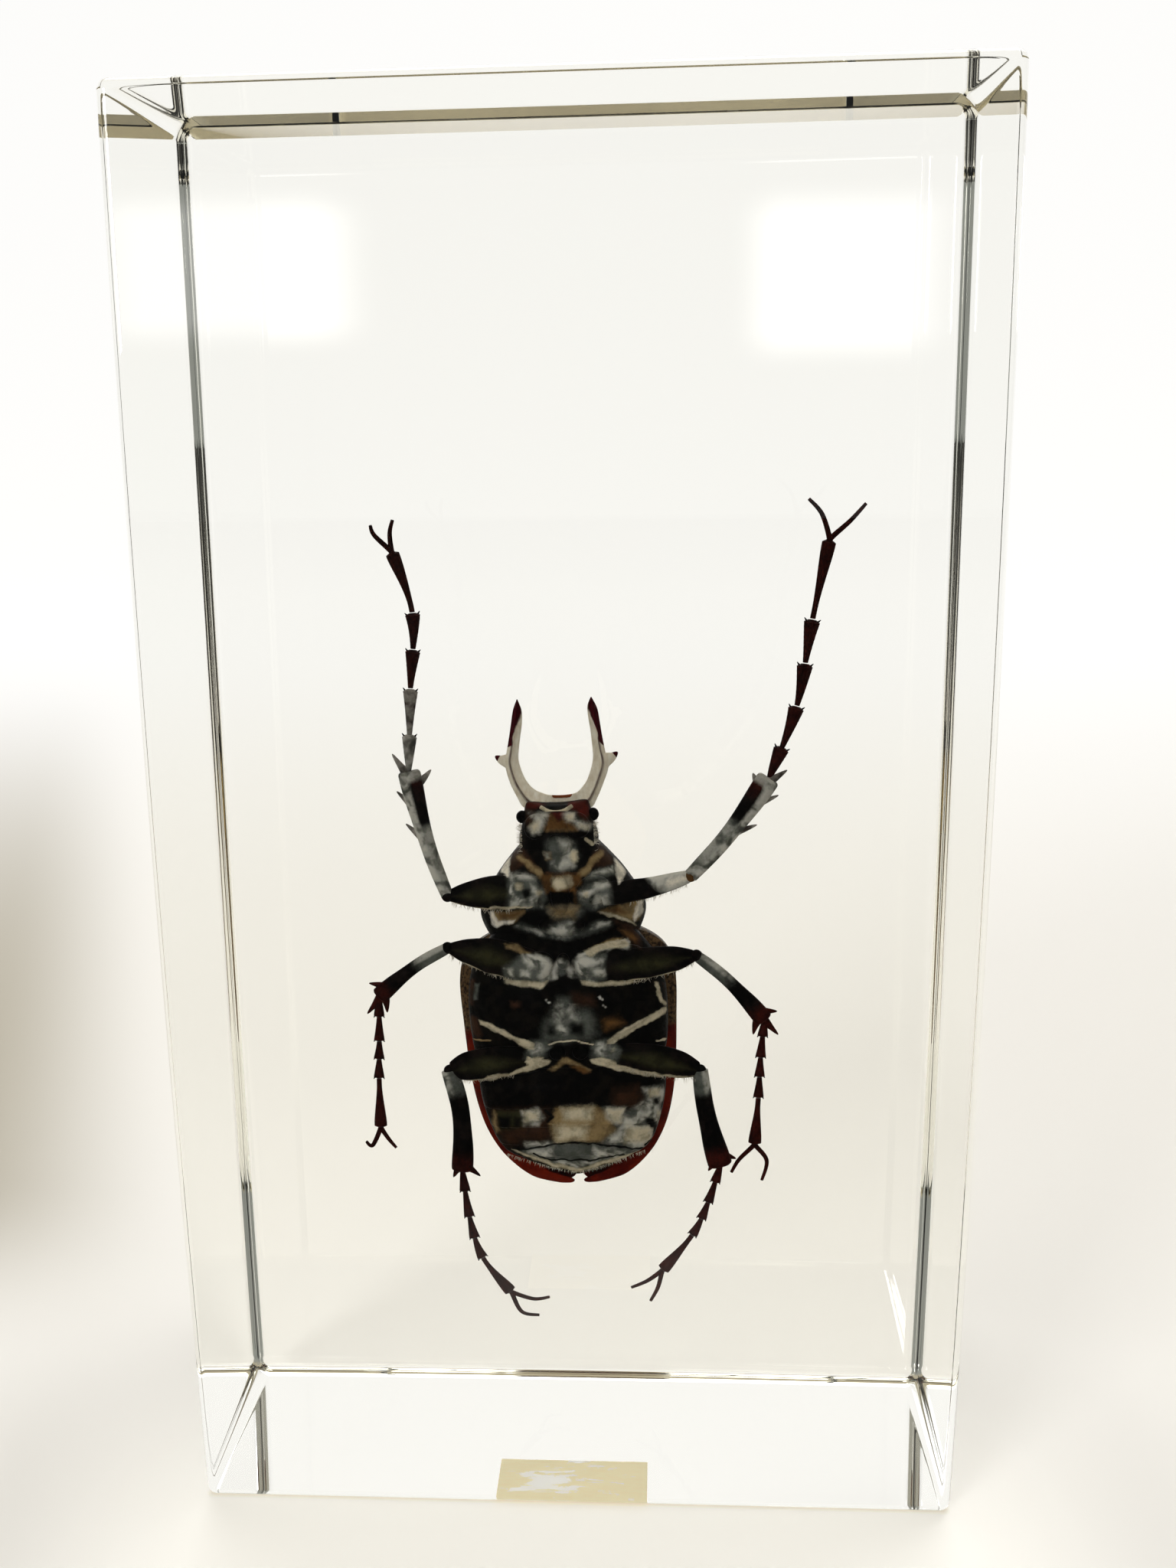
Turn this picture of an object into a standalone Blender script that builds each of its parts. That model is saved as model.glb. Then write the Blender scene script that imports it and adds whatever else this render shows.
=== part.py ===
"""Horned flower chafer sealed in a clear resin block that stands on its short end.

The insect's underside faces the front of the block, which is -Y. The block is parted in two halves at a
plane through the legs, and each half holds its share of the pocket that the insect lies in.
Lengths below are in millimetres, measured from the middle of the block's bottom edge lines.
"""

import math

import bmesh
import bpy
from mathutils import Matrix, Vector

MM = 0.001

# Resin block
BLOCK_WIDTH = 50.0
BLOCK_DEPTH = 26.0
BLOCK_HEIGHT = 88.5
EDGE_RADIUS = 0.9
EDGE_STEPS = 3
SPLIT_Y = -3.6
GAP = 0.3

# Pocket around the insect
POCKET_ROOM = 0.4
POCKET_SIDES = 12

# Label under the front edge
LABEL_WIDTH = 10.0
LABEL_LENGTH = 7.8
LABEL_THICKNESS = 0.2
LABEL_SIDE = -0.2
LABEL_SETBACK = 0.1
LABEL_LIFT = 0.02

# Insect: the body's own axis leans a little to its head's left in the block
BODY_CENTRE = (-0.35, 0.0, 31.2)
BODY_LEAN_DEG = 2.6
BODY_SIDES = 18
BULGE = 2.35

# Body forms as stations along the body: distance towards the head, half width, and the depth of the
# underside, of the widest line and of the back
ELYTRA = (
    (-11.5, 1.5, -0.5, 0.3, 1.2),
    (-11.1, 2.9, -0.9, 0.2, 1.9),
    (-10.0, 4.4, -1.4, 0.0, 2.8),
    (-8.0, 5.7, -1.8, -0.2, 3.7),
    (-4.5, 6.7, -2.0, -0.3, 4.5),
    (0.0, 7.1, -2.0, -0.3, 4.8),
    (3.6, 7.1, -1.8, -0.2, 4.5),
    (5.4, 6.2, -1.5, 0.1, 3.8),
    (6.2, 4.4, -1.0, 0.4, 2.9),
)
CHEST = (
    (-2.6, 6.1, -4.1, -1.6, 0.5),
    (-1.0, 6.4, -4.5, -1.6, 1.0),
    (2.0, 6.5, -4.6, -1.6, 1.0),
    (4.2, 6.1, -4.4, -1.6, 1.0),
    (6.0, 5.0, -3.9, -1.4, 1.0),
    (7.2, 3.8, -3.3, -1.2, 1.0),
)
PRONOTUM = (
    (5.7, 4.2, -3.2, 0.0, 2.9),
    (6.4, 4.95, -3.6, -0.1, 3.6),
    (8.0, 5.3, -3.9, -0.2, 4.3),
    (10.0, 4.7, -3.8, -0.2, 4.0),
    (11.5, 3.9, -3.3, -0.1, 3.1),
    (12.5, 2.7, -2.6, 0.1, 2.2),
)
HEAD = (
    (11.0, 2.2, -2.6, -0.3, 1.9),
    (12.4, 2.6, -2.8, -0.3, 1.9),
    (13.6, 2.35, -2.5, -0.2, 1.6),
    (14.6, 2.2, -1.9, 0.0, 1.1),
    (15.1, 1.9, -1.1, 0.1, 0.7),
)
# Rear edges of the abdomen's plates, with the half width and the underside there
STERNITES = (
    (-2.2, 6.1, -4.35),
    (-3.6, 6.1, -4.3),
    (-5.1, 6.0, -4.2),
    (-6.5, 5.7, -3.95),
    (-7.9, 5.2, -3.55),
    (-9.0, 4.3, -2.95),
)
STERNITE_STEP = 0.18
ABDOMEN_MIDDLE = -1.4
ABDOMEN_TOP = 0.5
TAIL_LENGTH = 1.3
TAIL_SHARE = 0.4
TAIL_RISE = 0.9
# Notch between the wing cases' tips: its place across and along the body, and its half width
WING_NOTCH = (0.0, -11.55)
WING_NOTCH_HALF = 0.55

# Legs in the block: the root under the body, the middle and end of the thigh, the ankle, the foot's way
# to its last joint, the two claws, and the shin's teeth as how far along it they stand and their tips
LEGS = {
    "fore_left": {
        "thigh": ((-2.2, -3.9, 40.6), (-5.3, -4.1, 40.4), (-7.9, -4.1, 40.5)),
        "thigh_radius": 0.95,
        "ankle": (-10.1, -3.9, 48.6),
        "foot": ((-10.1, -3.9, 49.2), (-9.8, -3.9, 53.8), (-9.5, -4.0, 58.4), (-10.6, -4.2, 62.2)),
        "claws": (((-11.6, -4.3, 63.2), (-11.8, -4.5, 63.8)), ((-10.7, -4.0, 63.3), (-10.5, -4.0, 64.1))),
        "teeth": ((0.45, (-10.4, -3.9, 45.2)), (0.72, (-10.9, -3.9, 47.3)), (1.0, (-11.1, -3.9, 49.7)),
                  (0.94, (-8.7, -3.9, 48.7))),
    },
    "fore_right": {
        "thigh": ((1.9, -3.9, 40.6), (4.8, -4.1, 41.1), (7.5, -4.1, 41.9)),
        "thigh_radius": 0.9,
        "ankle": (12.3, -3.9, 48.2),
        "foot": ((12.6, -3.9, 48.8), (13.9, -3.9, 52.7), (14.7, -4.0, 57.9), (15.6, -4.2, 62.8)),
        "claws": (((15.1, -4.3, 64.3), (14.3, -4.4, 65.2)), ((16.8, -4.1, 63.9), (17.7, -4.0, 64.9))),
        "teeth": ((0.45, (11.6, -3.9, 45.2)), (0.75, (12.9, -3.9, 47.1)), (1.0, (13.4, -3.9, 48.7)),
                  (0.97, (11.3, -3.9, 48.5))),
    },
    "mid_left": {
        "thigh": ((-2.3, -3.9, 35.6), (-5.2, -4.1, 36.4), (-8.0, -4.0, 37.0)),
        "thigh_radius": 1.15,
        "ankle": (-12.6, -3.7, 33.6),
        "foot": ((-12.6, -3.7, 32.9), (-12.7, -3.7, 30.5), (-12.8, -3.8, 28.0), (-12.8, -4.0, 24.5)),
        "claws": (((-13.4, -4.0, 23.2), (-13.8, -4.1, 23.5)), ((-12.3, -4.1, 23.7), (-11.8, -4.2, 23.1))),
        "teeth": ((0.9, (-13.2, -3.7, 34.5)), (1.0, (-13.4, -3.7, 32.4)), (1.0, (-12.1, -3.7, 32.5))),
    },
    "mid_right": {
        "thigh": ((1.2, -3.9, 35.7), (4.6, -4.1, 36.1), (7.9, -4.0, 36.6)),
        "thigh_radius": 1.15,
        "ankle": (12.3, -3.7, 32.2),
        "foot": ((12.3, -3.7, 31.5), (12.1, -3.7, 29.6), (12.0, -3.8, 26.9), (11.8, -4.0, 23.6)),
        "claws": (((10.8, -4.0, 22.5), (10.3, -4.1, 21.6)), ((12.6, -4.1, 22.5), (12.3, -4.2, 21.1))),
        "teeth": ((0.75, (11.4, -3.7, 34.0)), (0.95, (13.1, -3.7, 32.8)), (1.0, (13.2, -3.7, 31.2)),
                  (1.0, (11.6, -3.7, 31.2))),
    },
    "hind_left": {
        "thigh": ((-2.3, -3.9, 29.4), (-5.4, -4.2, 29.2), (-8.1, -4.1, 28.6)),
        "thigh_radius": 1.0,
        "ankle": (-7.5, -3.8, 21.4),
        "foot": ((-7.4, -3.8, 20.7), (-7.1, -3.8, 18.0), (-6.3, -3.9, 15.1), (-4.4, -4.1, 12.6)),
        "claws": (((-2.9, -4.1, 12.1), (-1.8, -4.2, 12.3)), ((-3.7, -4.3, 11.2), (-2.5, -4.4, 11.0))),
        "teeth": ((1.0, (-6.3, -3.8, 21.0)), (1.0, (-8.1, -3.8, 20.9))),
    },
    "hind_right": {
        "thigh": ((1.3, -3.9, 29.5), (5.0, -4.2, 29.5), (8.2, -4.1, 28.9)),
        "thigh_radius": 1.0,
        "ankle": (9.6, -3.8, 22.0),
        "foot": ((9.4, -3.8, 21.3), (8.8, -3.8, 19.3), (7.8, -3.9, 17.0), (5.8, -4.1, 14.4)),
        "claws": (((4.8, -4.1, 13.6), (3.7, -4.2, 13.1)), ((5.5, -4.3, 13.2), (5.0, -4.4, 12.2))),
        "teeth": ((0.95, (10.6, -3.8, 22.5)), (1.0, (8.8, -3.8, 21.6))),
    },
}
KNEE_RADIUS = 0.42
SHIN_RADIUS = 0.52
THIGH_FLATNESS = 0.66
THIGH_START = 0.15
THIGH_SPAN = 0.76
THIGH_FULLNESS = 0.65
FOOT_JOINTS = (0.0, 0.17, 0.34, 0.51, 0.68, 1.0)
FOOT_WAIST = 0.17
FOOT_SWELL = 0.33
CLAW_RADIUS = 0.16
TOOTH_RADIUS = 0.34
TIP_RADIUS = 0.08

# Horns in the block: the way of the ridge from its foot to its tip, and the side tooth
HORNS = (
    (((-3.0, 0.2, 45.7), (-3.8, 0.8, 47.6), (-4.1, 1.2, 49.2), (-3.9, 1.1, 51.0), (-3.5, 0.8, 52.7)),
     (-5.1, 1.2, 48.8)),
    (((1.1, 0.2, 45.8), (1.7, 0.8, 47.7), (1.9, 1.2, 49.3), (1.7, 1.1, 51.1), (1.3, 0.8, 52.8)),
     (2.9, 1.2, 49.0)),
)
HORN_BRIDGE = ((-3.7, 0.7, 48.0), (-2.7, 0.5, 46.7), (-1.0, 0.4, 46.0), (0.7, 0.5, 46.8), (1.6, 0.7, 48.1))
HORN_RADII = (0.55, 0.5, 0.42, 0.34, 0.18)
BRIDGE_RADIUS = 0.5


def clear_scene():
    for item in list(bpy.data.objects):
        bpy.data.objects.remove(item, do_unlink=True)


def new_collection(name, hidden=False):
    made = bpy.data.collections.new(name)
    bpy.context.scene.collection.children.link(made)
    made.hide_render = hidden
    return made


def new_material(name, colour, roughness, transmission=0.0):
    made = bpy.data.materials.new(name)
    made.use_nodes = True
    shader = made.node_tree.nodes["Principled BSDF"]
    shader.inputs["Base Color"].default_value = (*colour, 1.0)
    shader.inputs["Roughness"].default_value = roughness
    shader.inputs["Transmission Weight"].default_value = transmission
    made.diffuse_color = (*colour, 1.0)
    return made


def add_object(name, mesh, collection, material=None, smooth=True):
    made = bpy.data.objects.new(name, mesh)
    collection.objects.link(made)
    if material:
        mesh.materials.append(material)
    if smooth:
        mesh.shade_smooth()
        mesh.set_sharp_from_angle(angle=math.radians(35.0))
    return made


def as_helper(item):
    item.hide_render = True
    item.display_type = "WIRE"
    return item


def blend_points(points, steps):
    """Points on a smooth curve through the given ones, with any number of values each."""
    ends = (points[0], *points, points[-1])
    made = []
    for index in range(1, len(ends) - 2):
        before, start, stop, after = ends[index - 1:index + 3]
        for step in range(steps):
            t = step / steps
            made.append(tuple(
                0.5 * (2 * b + (c - a) * t + (2 * a - 5 * b + 4 * c - d) * t * t
                       + (3 * b - a - 3 * c + d) * t * t * t)
                for a, b, c, d in zip(before, start, stop, after)))
    made.append(tuple(points[-1]))
    return made


def past(start, stop, distance):
    """The point that lies that far beyond stop, seen from start."""
    return Vector(stop) + (Vector(stop) - Vector(start)).normalized() * distance


def body_matrix():
    return (Matrix.Translation(Vector(BODY_CENTRE) * MM)
            @ Matrix.Rotation(math.radians(-BODY_LEAN_DEG), 4, "Y"))


def ring_points(station, sides, room):
    """One section across the body: a superellipse that is deeper on one side of its widest line."""
    along, half_width, low, middle, high = station
    spread = 1.0 / math.cos(math.pi / sides) if room else 1.0
    made = []
    for index in range(sides):
        turn = 2.0 * math.pi * (index + 0.5) / sides
        across = math.copysign(abs(math.cos(turn)) ** (2.0 / BULGE), math.cos(turn))
        deep = math.copysign(abs(math.sin(turn)) ** (2.0 / BULGE), math.sin(turn))
        reach = (high - middle) if deep > 0 else (middle - low)
        made.append(Vector((across * (half_width + room) * spread,
                            middle + deep * (reach + room) * spread,
                            along)) * MM)
    return made


def loft(name, stations, sides, collection, room=0.0):
    """A closed form through rings of like points, one ring for each station."""
    shape = bmesh.new()
    first, last = stations[0], stations[-1]
    if room:
        stations = ((first[0] - room, *first[1:]), *stations[1:-1], (last[0] + room, *last[1:]))
    rings = [[shape.verts.new(point) for point in ring_points(station, sides, room)] for station in stations]
    for below, above in zip(rings, rings[1:]):
        for index in range(sides):
            after = (index + 1) % sides
            shape.faces.new((below[index], below[after], above[after], above[index]))
    shape.faces.new(rings[0][::-1])
    shape.faces.new(rings[-1])
    bmesh.ops.recalc_face_normals(shape, faces=shape.faces)
    mesh = bpy.data.meshes.new(name)
    shape.to_mesh(mesh)
    shape.free()
    mesh.transform(body_matrix())
    return as_helper(add_object(name, mesh, collection, smooth=False))


def tube(name, points, collection, resolution=1, flatness=1.0):
    """A limb along points of x, y, z and radius. Flatness squeezes its section along the block's depth."""
    curve = bpy.data.curves.new(name, "CURVE")
    curve.dimensions = "3D"
    curve.bevel_depth = MM
    curve.bevel_resolution = resolution
    curve.use_fill_caps = True
    spline = curve.splines.new("POLY")
    spline.points.add(len(points) - 1)
    for knot, (x, y, z, radius) in zip(spline.points, points):
        knot.co = (x * MM, y * MM / flatness, z * MM, 1.0)
        knot.radius = radius
    guide = bpy.data.objects.new(name + "_guide", curve)
    collection.objects.link(guide)
    graph = bpy.context.evaluated_depsgraph_get()
    mesh = bpy.data.meshes.new_from_object(guide.evaluated_get(graph))
    bpy.data.objects.remove(guide)
    bpy.data.curves.remove(curve)
    mesh.name = name
    mesh.transform(Matrix.Diagonal((1.0, flatness, 1.0, 1.0)))
    shape = bmesh.new()
    shape.from_mesh(mesh)
    bmesh.ops.remove_doubles(shape, verts=shape.verts, dist=0.001 * MM)
    bmesh.ops.recalc_face_normals(shape, faces=shape.faces)
    shape.to_mesh(mesh)
    shape.free()
    return as_helper(add_object(name, mesh, collection, smooth=False))


def ball(name, centre, radii, collection, segments=10, rings=7, turned=True):
    """An ellipsoid, placed in the body's own frame where turned is set."""
    shape = bmesh.new()
    bmesh.ops.create_uvsphere(shape, u_segments=segments, v_segments=rings, radius=MM)
    mesh = bpy.data.meshes.new(name)
    shape.to_mesh(mesh)
    shape.free()
    mesh.transform(Matrix.Translation(Vector(centre) * MM) @ Matrix.Diagonal((*radii, 1.0)))
    if turned:
        mesh.transform(body_matrix())
    return as_helper(add_object(name, mesh, collection, smooth=False))


def box(name, low, high, collection):
    shape = bmesh.new()
    bmesh.ops.create_cube(shape, size=1.0)
    size = Vector(high) - Vector(low)
    middle = (Vector(high) + Vector(low)) / 2.0
    for corner in shape.verts:
        corner.co = (Vector(a * b for a, b in zip(corner.co, size)) + middle) * MM
    mesh = bpy.data.meshes.new(name)
    shape.to_mesh(mesh)
    shape.free()
    return add_object(name, mesh, collection, smooth=False)


def thigh_points(leg, room=0.0, steps=3):
    """Spindle from the leg's root to its knee."""
    way = blend_points(leg["thigh"], steps)
    made = []
    for index, place in enumerate(way):
        t = index / (len(way) - 1)
        swell = math.sin(math.pi * (THIGH_START + THIGH_SPAN * t)) ** THIGH_FULLNESS
        made.append((*place, leg["thigh_radius"] * swell + room))
    return made


def shank_points(leg, room=0.0, steps=6):
    """Shin and foot in one tapering tube: the shin widens to the ankle, and each foot joint swells to its end."""
    knee = Vector(leg["thigh"][-1])
    ankle = Vector(leg["ankle"])
    made = [(*knee.lerp(ankle, t), KNEE_RADIUS + (SHIN_RADIUS - KNEE_RADIUS) * t + room)
            for t in (0.0, 0.35, 0.7, 0.96)]
    way = blend_points(leg["foot"], steps)
    for start, stop in zip(FOOT_JOINTS, FOOT_JOINTS[1:]):
        for share, radius in ((0.1, FOOT_WAIST), (0.9, FOOT_SWELL)):
            at = (start + (stop - start) * share) * (len(way) - 1)
            index = min(int(at), len(way) - 2)
            place = Vector(way[index]).lerp(Vector(way[index + 1]), at - index)
            made.append((*place, radius + room))
    return made


def leg_pieces(name, leg, collection):
    tube(name + "_thigh", thigh_points(leg), collection, resolution=2, flatness=THIGH_FLATNESS)
    tube(name + "_shank", shank_points(leg), collection)
    heel = leg["foot"][-1]
    before = Vector(heel).lerp(Vector(leg["foot"][-2]), 0.12)
    for number, (middle, tip) in enumerate(leg["claws"]):
        tube(f"{name}_claw_{number}", ((*before, CLAW_RADIUS), (*heel, CLAW_RADIUS), (*middle, CLAW_RADIUS),
                                       (*tip, 0.5 * CLAW_RADIUS)), collection, resolution=0)
    knee = Vector(leg["thigh"][-1])
    ankle = Vector(leg["ankle"])
    for number, (share, tip) in enumerate(leg["teeth"]):
        foot = knee.lerp(ankle, share * 0.93)
        tube(f"{name}_tooth_{number}", ((*foot, TOOTH_RADIUS), (*foot.lerp(Vector(tip), 0.5), TOOTH_RADIUS * 0.8),
                                        (*tip, TIP_RADIUS)), collection, resolution=0)


def leg_pocket(name, leg, collection):
    room = POCKET_ROOM
    knee = Vector(leg["thigh"][-1])
    ankle = Vector(leg["ankle"])
    thigh = thigh_points(leg, room=room + 0.15, steps=2)
    thigh.append((*past(leg["thigh"][-2], knee, room), KNEE_RADIUS + room))
    tube(name + "_thigh_room", thigh, collection)
    foot_radius = FOOT_SWELL + room + 0.1
    way = [(*past(ankle, knee, room), KNEE_RADIUS + room + 0.1), (*ankle, SHIN_RADIUS + room + 0.45)]
    way += [(*place, foot_radius) for place in blend_points(leg["foot"], 2)[1:]]
    heel = leg["foot"][-1]
    way.append((*past(way[-2][:3], heel, room), foot_radius))
    tube(name + "_shank_room", way, collection)
    for number, (middle, tip) in enumerate(leg["claws"]):
        radius = CLAW_RADIUS + room
        tube(f"{name}_claw_room_{number}", ((*heel, radius), (*middle, radius), (*past(middle, tip, room), radius)),
             collection)
    for number, (share, tip) in enumerate(leg["teeth"]):
        foot = knee.lerp(ankle, share * 0.93)
        tube(f"{name}_tooth_room_{number}", ((*foot, SHIN_RADIUS + room), (*past(foot, tip, room), TOOTH_RADIUS + room)),
             collection, resolution=0)


def abdomen_stations(step=STERNITE_STEP):
    """Each plate starts a step inside the rear edge of the one before it."""
    first, last = STERNITES[0], STERNITES[-1]
    made = [(first[0] + 1.6, *first[1:], ABDOMEN_MIDDLE, ABDOMEN_TOP)]
    for along, wide, low in STERNITES[:-1]:
        made.append((along, wide, low, ABDOMEN_MIDDLE, ABDOMEN_TOP))
        if step:
            made.append((along - 0.05, wide - step, low + step, ABDOMEN_MIDDLE, ABDOMEN_TOP))
    made.append((*last, ABDOMEN_MIDDLE, ABDOMEN_TOP))
    made.append((last[0] - TAIL_LENGTH, TAIL_SHARE * last[1], last[2] + TAIL_RISE, ABDOMEN_MIDDLE, ABDOMEN_TOP))
    return made[::-1]


def horn_pieces(collection, room=0.0):
    suffix = "_room" if room else ""
    for number, (way, tooth) in enumerate(HORNS):
        points = [(*place, radius + room) for place, radius in zip(way, HORN_RADII)]
        points[-1] = (*past(way[-2], way[-1], room), HORN_RADII[-1] + room)
        tube(f"horn_{number}{suffix}", points, collection)
        tube(f"horn_tooth_{number}{suffix}", ((*way[1], 0.3 + room), (*past(way[1], tooth, room), 0.12 + room)),
             collection)
    way = (past(HORN_BRIDGE[1], HORN_BRIDGE[0], room), *HORN_BRIDGE[1:-1],
           past(HORN_BRIDGE[-2], HORN_BRIDGE[-1], room))
    bridge = [(*place, BRIDGE_RADIUS + room) for place in way]
    tube("horn_bridge" + suffix, bridge, collection)


def underside_pieces(collection):
    """Hip joints, the keel between the middle legs, eyes and mouth plate, in the body's own frame."""
    for side in (-1.0, 1.0):
        ball(f"fore_hip{side:+.0f}", (side * 2.1, -3.5, 9.6), (1.3, 0.95, 1.1), collection)
        ball(f"mid_hip{side:+.0f}", (side * 1.8, -4.0, 4.7), (1.4, 0.9, 1.2), collection)
        ball(f"hind_hip{side:+.0f}", (side * 2.8, -4.0, -1.7), (2.9, 0.75, 1.0), collection)
        ball(f"eye{side:+.0f}", (side * 2.2, -0.2, 14.0), (0.5, 0.6, 0.55), collection, segments=8, rings=5)
    ball("keel", (0.0, -4.2, 5.3), (0.6, 0.95, 0.7), collection)
    ball("mouth_plate", (0.0, -2.3, 12.2), (1.3, 0.75, 1.1), collection)


def make_wing_notch(cutters):
    """A square bar that stands on its edge, across the seam of the wing cases at their tips."""
    half = WING_NOTCH_HALF / math.sqrt(2.0)
    bar = as_helper(box("wing_notch", (-half, -3.0, -half), (half, 3.0, half), cutters))
    bar.data.transform(Matrix.Rotation(math.radians(45.0), 4, "Y"))
    bar.data.transform(Matrix.Translation(Vector((WING_NOTCH[0], 0.0, WING_NOTCH[1])) * MM))
    bar.data.transform(body_matrix())
    return bar


def make_beetle(parts, helpers, cutters, material):
    loft("abdomen", abdomen_stations(), BODY_SIDES, helpers)
    for name, stations in (("chest", CHEST), ("pronotum", blend_points(PRONOTUM, 2)), ("head", HEAD)):
        loft(name, stations, BODY_SIDES, helpers)
    underside_pieces(helpers)
    horn_pieces(helpers)
    for name, leg in LEGS.items():
        leg_pieces(name, leg, helpers)
    elytra = loft("beetle", blend_points(ELYTRA, 2), BODY_SIDES, parts)
    elytra.hide_render = False
    elytra.display_type = "TEXTURED"
    elytra.data.materials.append(material)
    boolean_all(elytra, "fuse the grown pieces", "UNION", helpers)
    cut_with(elytra, "notch between the wing cases", make_wing_notch(cutters))
    return elytra


def cut_with(target, name, cutter):
    made = target.modifiers.new(name, "BOOLEAN")
    made.operation = "DIFFERENCE"
    made.object = cutter


def boolean_all(target, name, operation, pieces):
    """One Boolean with every object of a collection."""
    made = target.modifiers.new(name, "BOOLEAN")
    made.operation = operation
    made.operand_type = "COLLECTION"
    made.collection = pieces


def make_pocket(rooms):
    """The insect's own forms with some room around them and fewer sides."""
    forms = (("elytra_room", ELYTRA), ("chest_room", CHEST), ("pronotum_room", PRONOTUM), ("head_room", HEAD))
    for name, form in forms:
        loft(name, form, POCKET_SIDES, rooms, room=POCKET_ROOM)
    loft("abdomen_room", abdomen_stations(step=0.0), POCKET_SIDES, rooms, room=POCKET_ROOM + 0.1)
    ball("hip_room", (0.0, -3.7, 4.0), (5.2, 1.9, 9.0), rooms, segments=12, rings=8)
    ball("eye_room", (0.0, -0.2, 14.1), (3.6, 1.5, 1.4), rooms, segments=12, rings=8)
    horn_pieces(rooms, room=POCKET_ROOM)
    for name, leg in LEGS.items():
        leg_pocket(name, leg, rooms)


def make_half(name, low_y, high_y, split_y, parts, rooms, material):
    """A box whose edges are rounded, except those on the plane where the halves meet."""
    half = box(name, (-BLOCK_WIDTH / 2, low_y, 0.0), (BLOCK_WIDTH / 2, high_y, BLOCK_HEIGHT), parts)
    shape = bmesh.new()
    shape.from_mesh(half.data)
    outer = [edge for edge in shape.edges
             if not all(abs(corner.co.y - split_y * MM) < 1e-6 for corner in edge.verts)]
    bmesh.ops.bevel(shape, geom=outer, offset=EDGE_RADIUS * MM, segments=EDGE_STEPS, profile=0.5,
                    affect="EDGES", clamp_overlap=True)
    shape.to_mesh(half.data)
    shape.free()
    half.data.materials.append(material)
    half.data.shade_smooth()
    half.data.set_sharp_from_angle(angle=math.radians(35.0))
    boolean_all(half, "pocket", "DIFFERENCE", rooms)
    return half


def make_label(parts, cutters, front_half, material):
    """A blank sticker in a shallow recess of the bottom, flush with it, at the front edge."""
    front = -BLOCK_DEPTH / 2 + EDGE_RADIUS + LABEL_SETBACK
    low = (LABEL_SIDE - LABEL_WIDTH / 2, front, LABEL_LIFT)
    high = (LABEL_SIDE + LABEL_WIDTH / 2, front + LABEL_LENGTH - EDGE_RADIUS, LABEL_LIFT + LABEL_THICKNESS)
    label = box("label", low, high, parts)
    label.data.materials.append(material)
    recess_low = (low[0] - GAP, low[1] - GAP, -1.0)
    recess_high = (high[0] + GAP, high[1] + GAP, high[2] + GAP)
    recess = as_helper(box("label_recess", recess_low, recess_high, cutters))
    cut_with(front_half, "label recess", recess)
    return label


def main():
    clear_scene()
    parts = new_collection("insect_in_resin_block")
    grown = new_collection("grown_pieces", hidden=True)
    rooms = new_collection("pocket_rooms", hidden=True)
    cutters = new_collection("cutters", hidden=True)
    resin = new_material("clear resin", (0.93, 0.92, 0.84), 0.03, transmission=1.0)
    cuticle = new_material("beetle cuticle", (0.05, 0.035, 0.03), 0.4)
    paper = new_material("label paper", (0.78, 0.72, 0.5), 0.8)
    make_pocket(rooms)
    front = make_half("resin_front_half", -BLOCK_DEPTH / 2, SPLIT_Y - GAP / 2, SPLIT_Y - GAP / 2,
                      parts, rooms, resin)
    make_half("resin_back_half", SPLIT_Y + GAP / 2, BLOCK_DEPTH / 2, SPLIT_Y + GAP / 2, parts, rooms, resin)
    make_label(parts, cutters, front, paper)
    make_beetle(parts, grown, cutters, cuticle)


main()
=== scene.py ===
"""Look of the horned flower chafer in its clear resin block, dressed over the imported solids.

Lengths are in millimetres in the block's own frame, +X right, +Y to the back, +Z up, and turn into metres
where a mesh is made. The insect's underside faces the front of the block.
"""

import math

import bmesh
import bpy
import numpy as np
from mathutils import Matrix, Vector


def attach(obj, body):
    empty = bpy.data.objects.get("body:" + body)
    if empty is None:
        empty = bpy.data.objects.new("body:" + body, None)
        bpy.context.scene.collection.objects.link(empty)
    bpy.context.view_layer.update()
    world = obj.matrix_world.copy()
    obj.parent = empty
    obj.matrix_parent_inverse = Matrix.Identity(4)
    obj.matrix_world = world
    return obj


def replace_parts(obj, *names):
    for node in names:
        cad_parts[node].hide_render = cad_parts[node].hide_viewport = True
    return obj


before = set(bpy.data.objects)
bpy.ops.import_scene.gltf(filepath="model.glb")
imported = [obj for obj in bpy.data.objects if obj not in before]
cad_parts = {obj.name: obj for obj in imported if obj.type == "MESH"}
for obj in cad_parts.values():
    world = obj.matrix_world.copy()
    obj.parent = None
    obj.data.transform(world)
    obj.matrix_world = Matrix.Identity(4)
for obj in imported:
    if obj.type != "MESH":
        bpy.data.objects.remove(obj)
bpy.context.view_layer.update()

MM = 0.001
SEED = 7

# Resin block
BLOCK = (50.0, 26.0, 88.5)
FRONT_EDGE = 0.7
BACK_EDGE = 0.95
BEVEL = (0.75, 0.75)
SIDE_CROWN = 0.35
TOP_SLANT = 0.6
BLOCK_CELLS = (14, 10, 26)
RESIN_TINT = (0.965, 0.95, 0.80)
RESIN_DENSITY = 9.0

# Label: its sides, its front and back ends, the air below the resin and its thickness
LABEL_ACROSS = (-5.25, 4.8)
LABEL_DEEP = (-12.75, -5.1)
LABEL_LOW = 0.03
LABEL_THICK = 0.09

# Camera, from the photograph
CAMERA_PLACE = (5.59, -99.71, 70.77)
CAMERA_TURNS = (-13.940, 0.555, 2.784)
CAMERA_LENS = 35.2
SENSOR = 36.0

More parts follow.
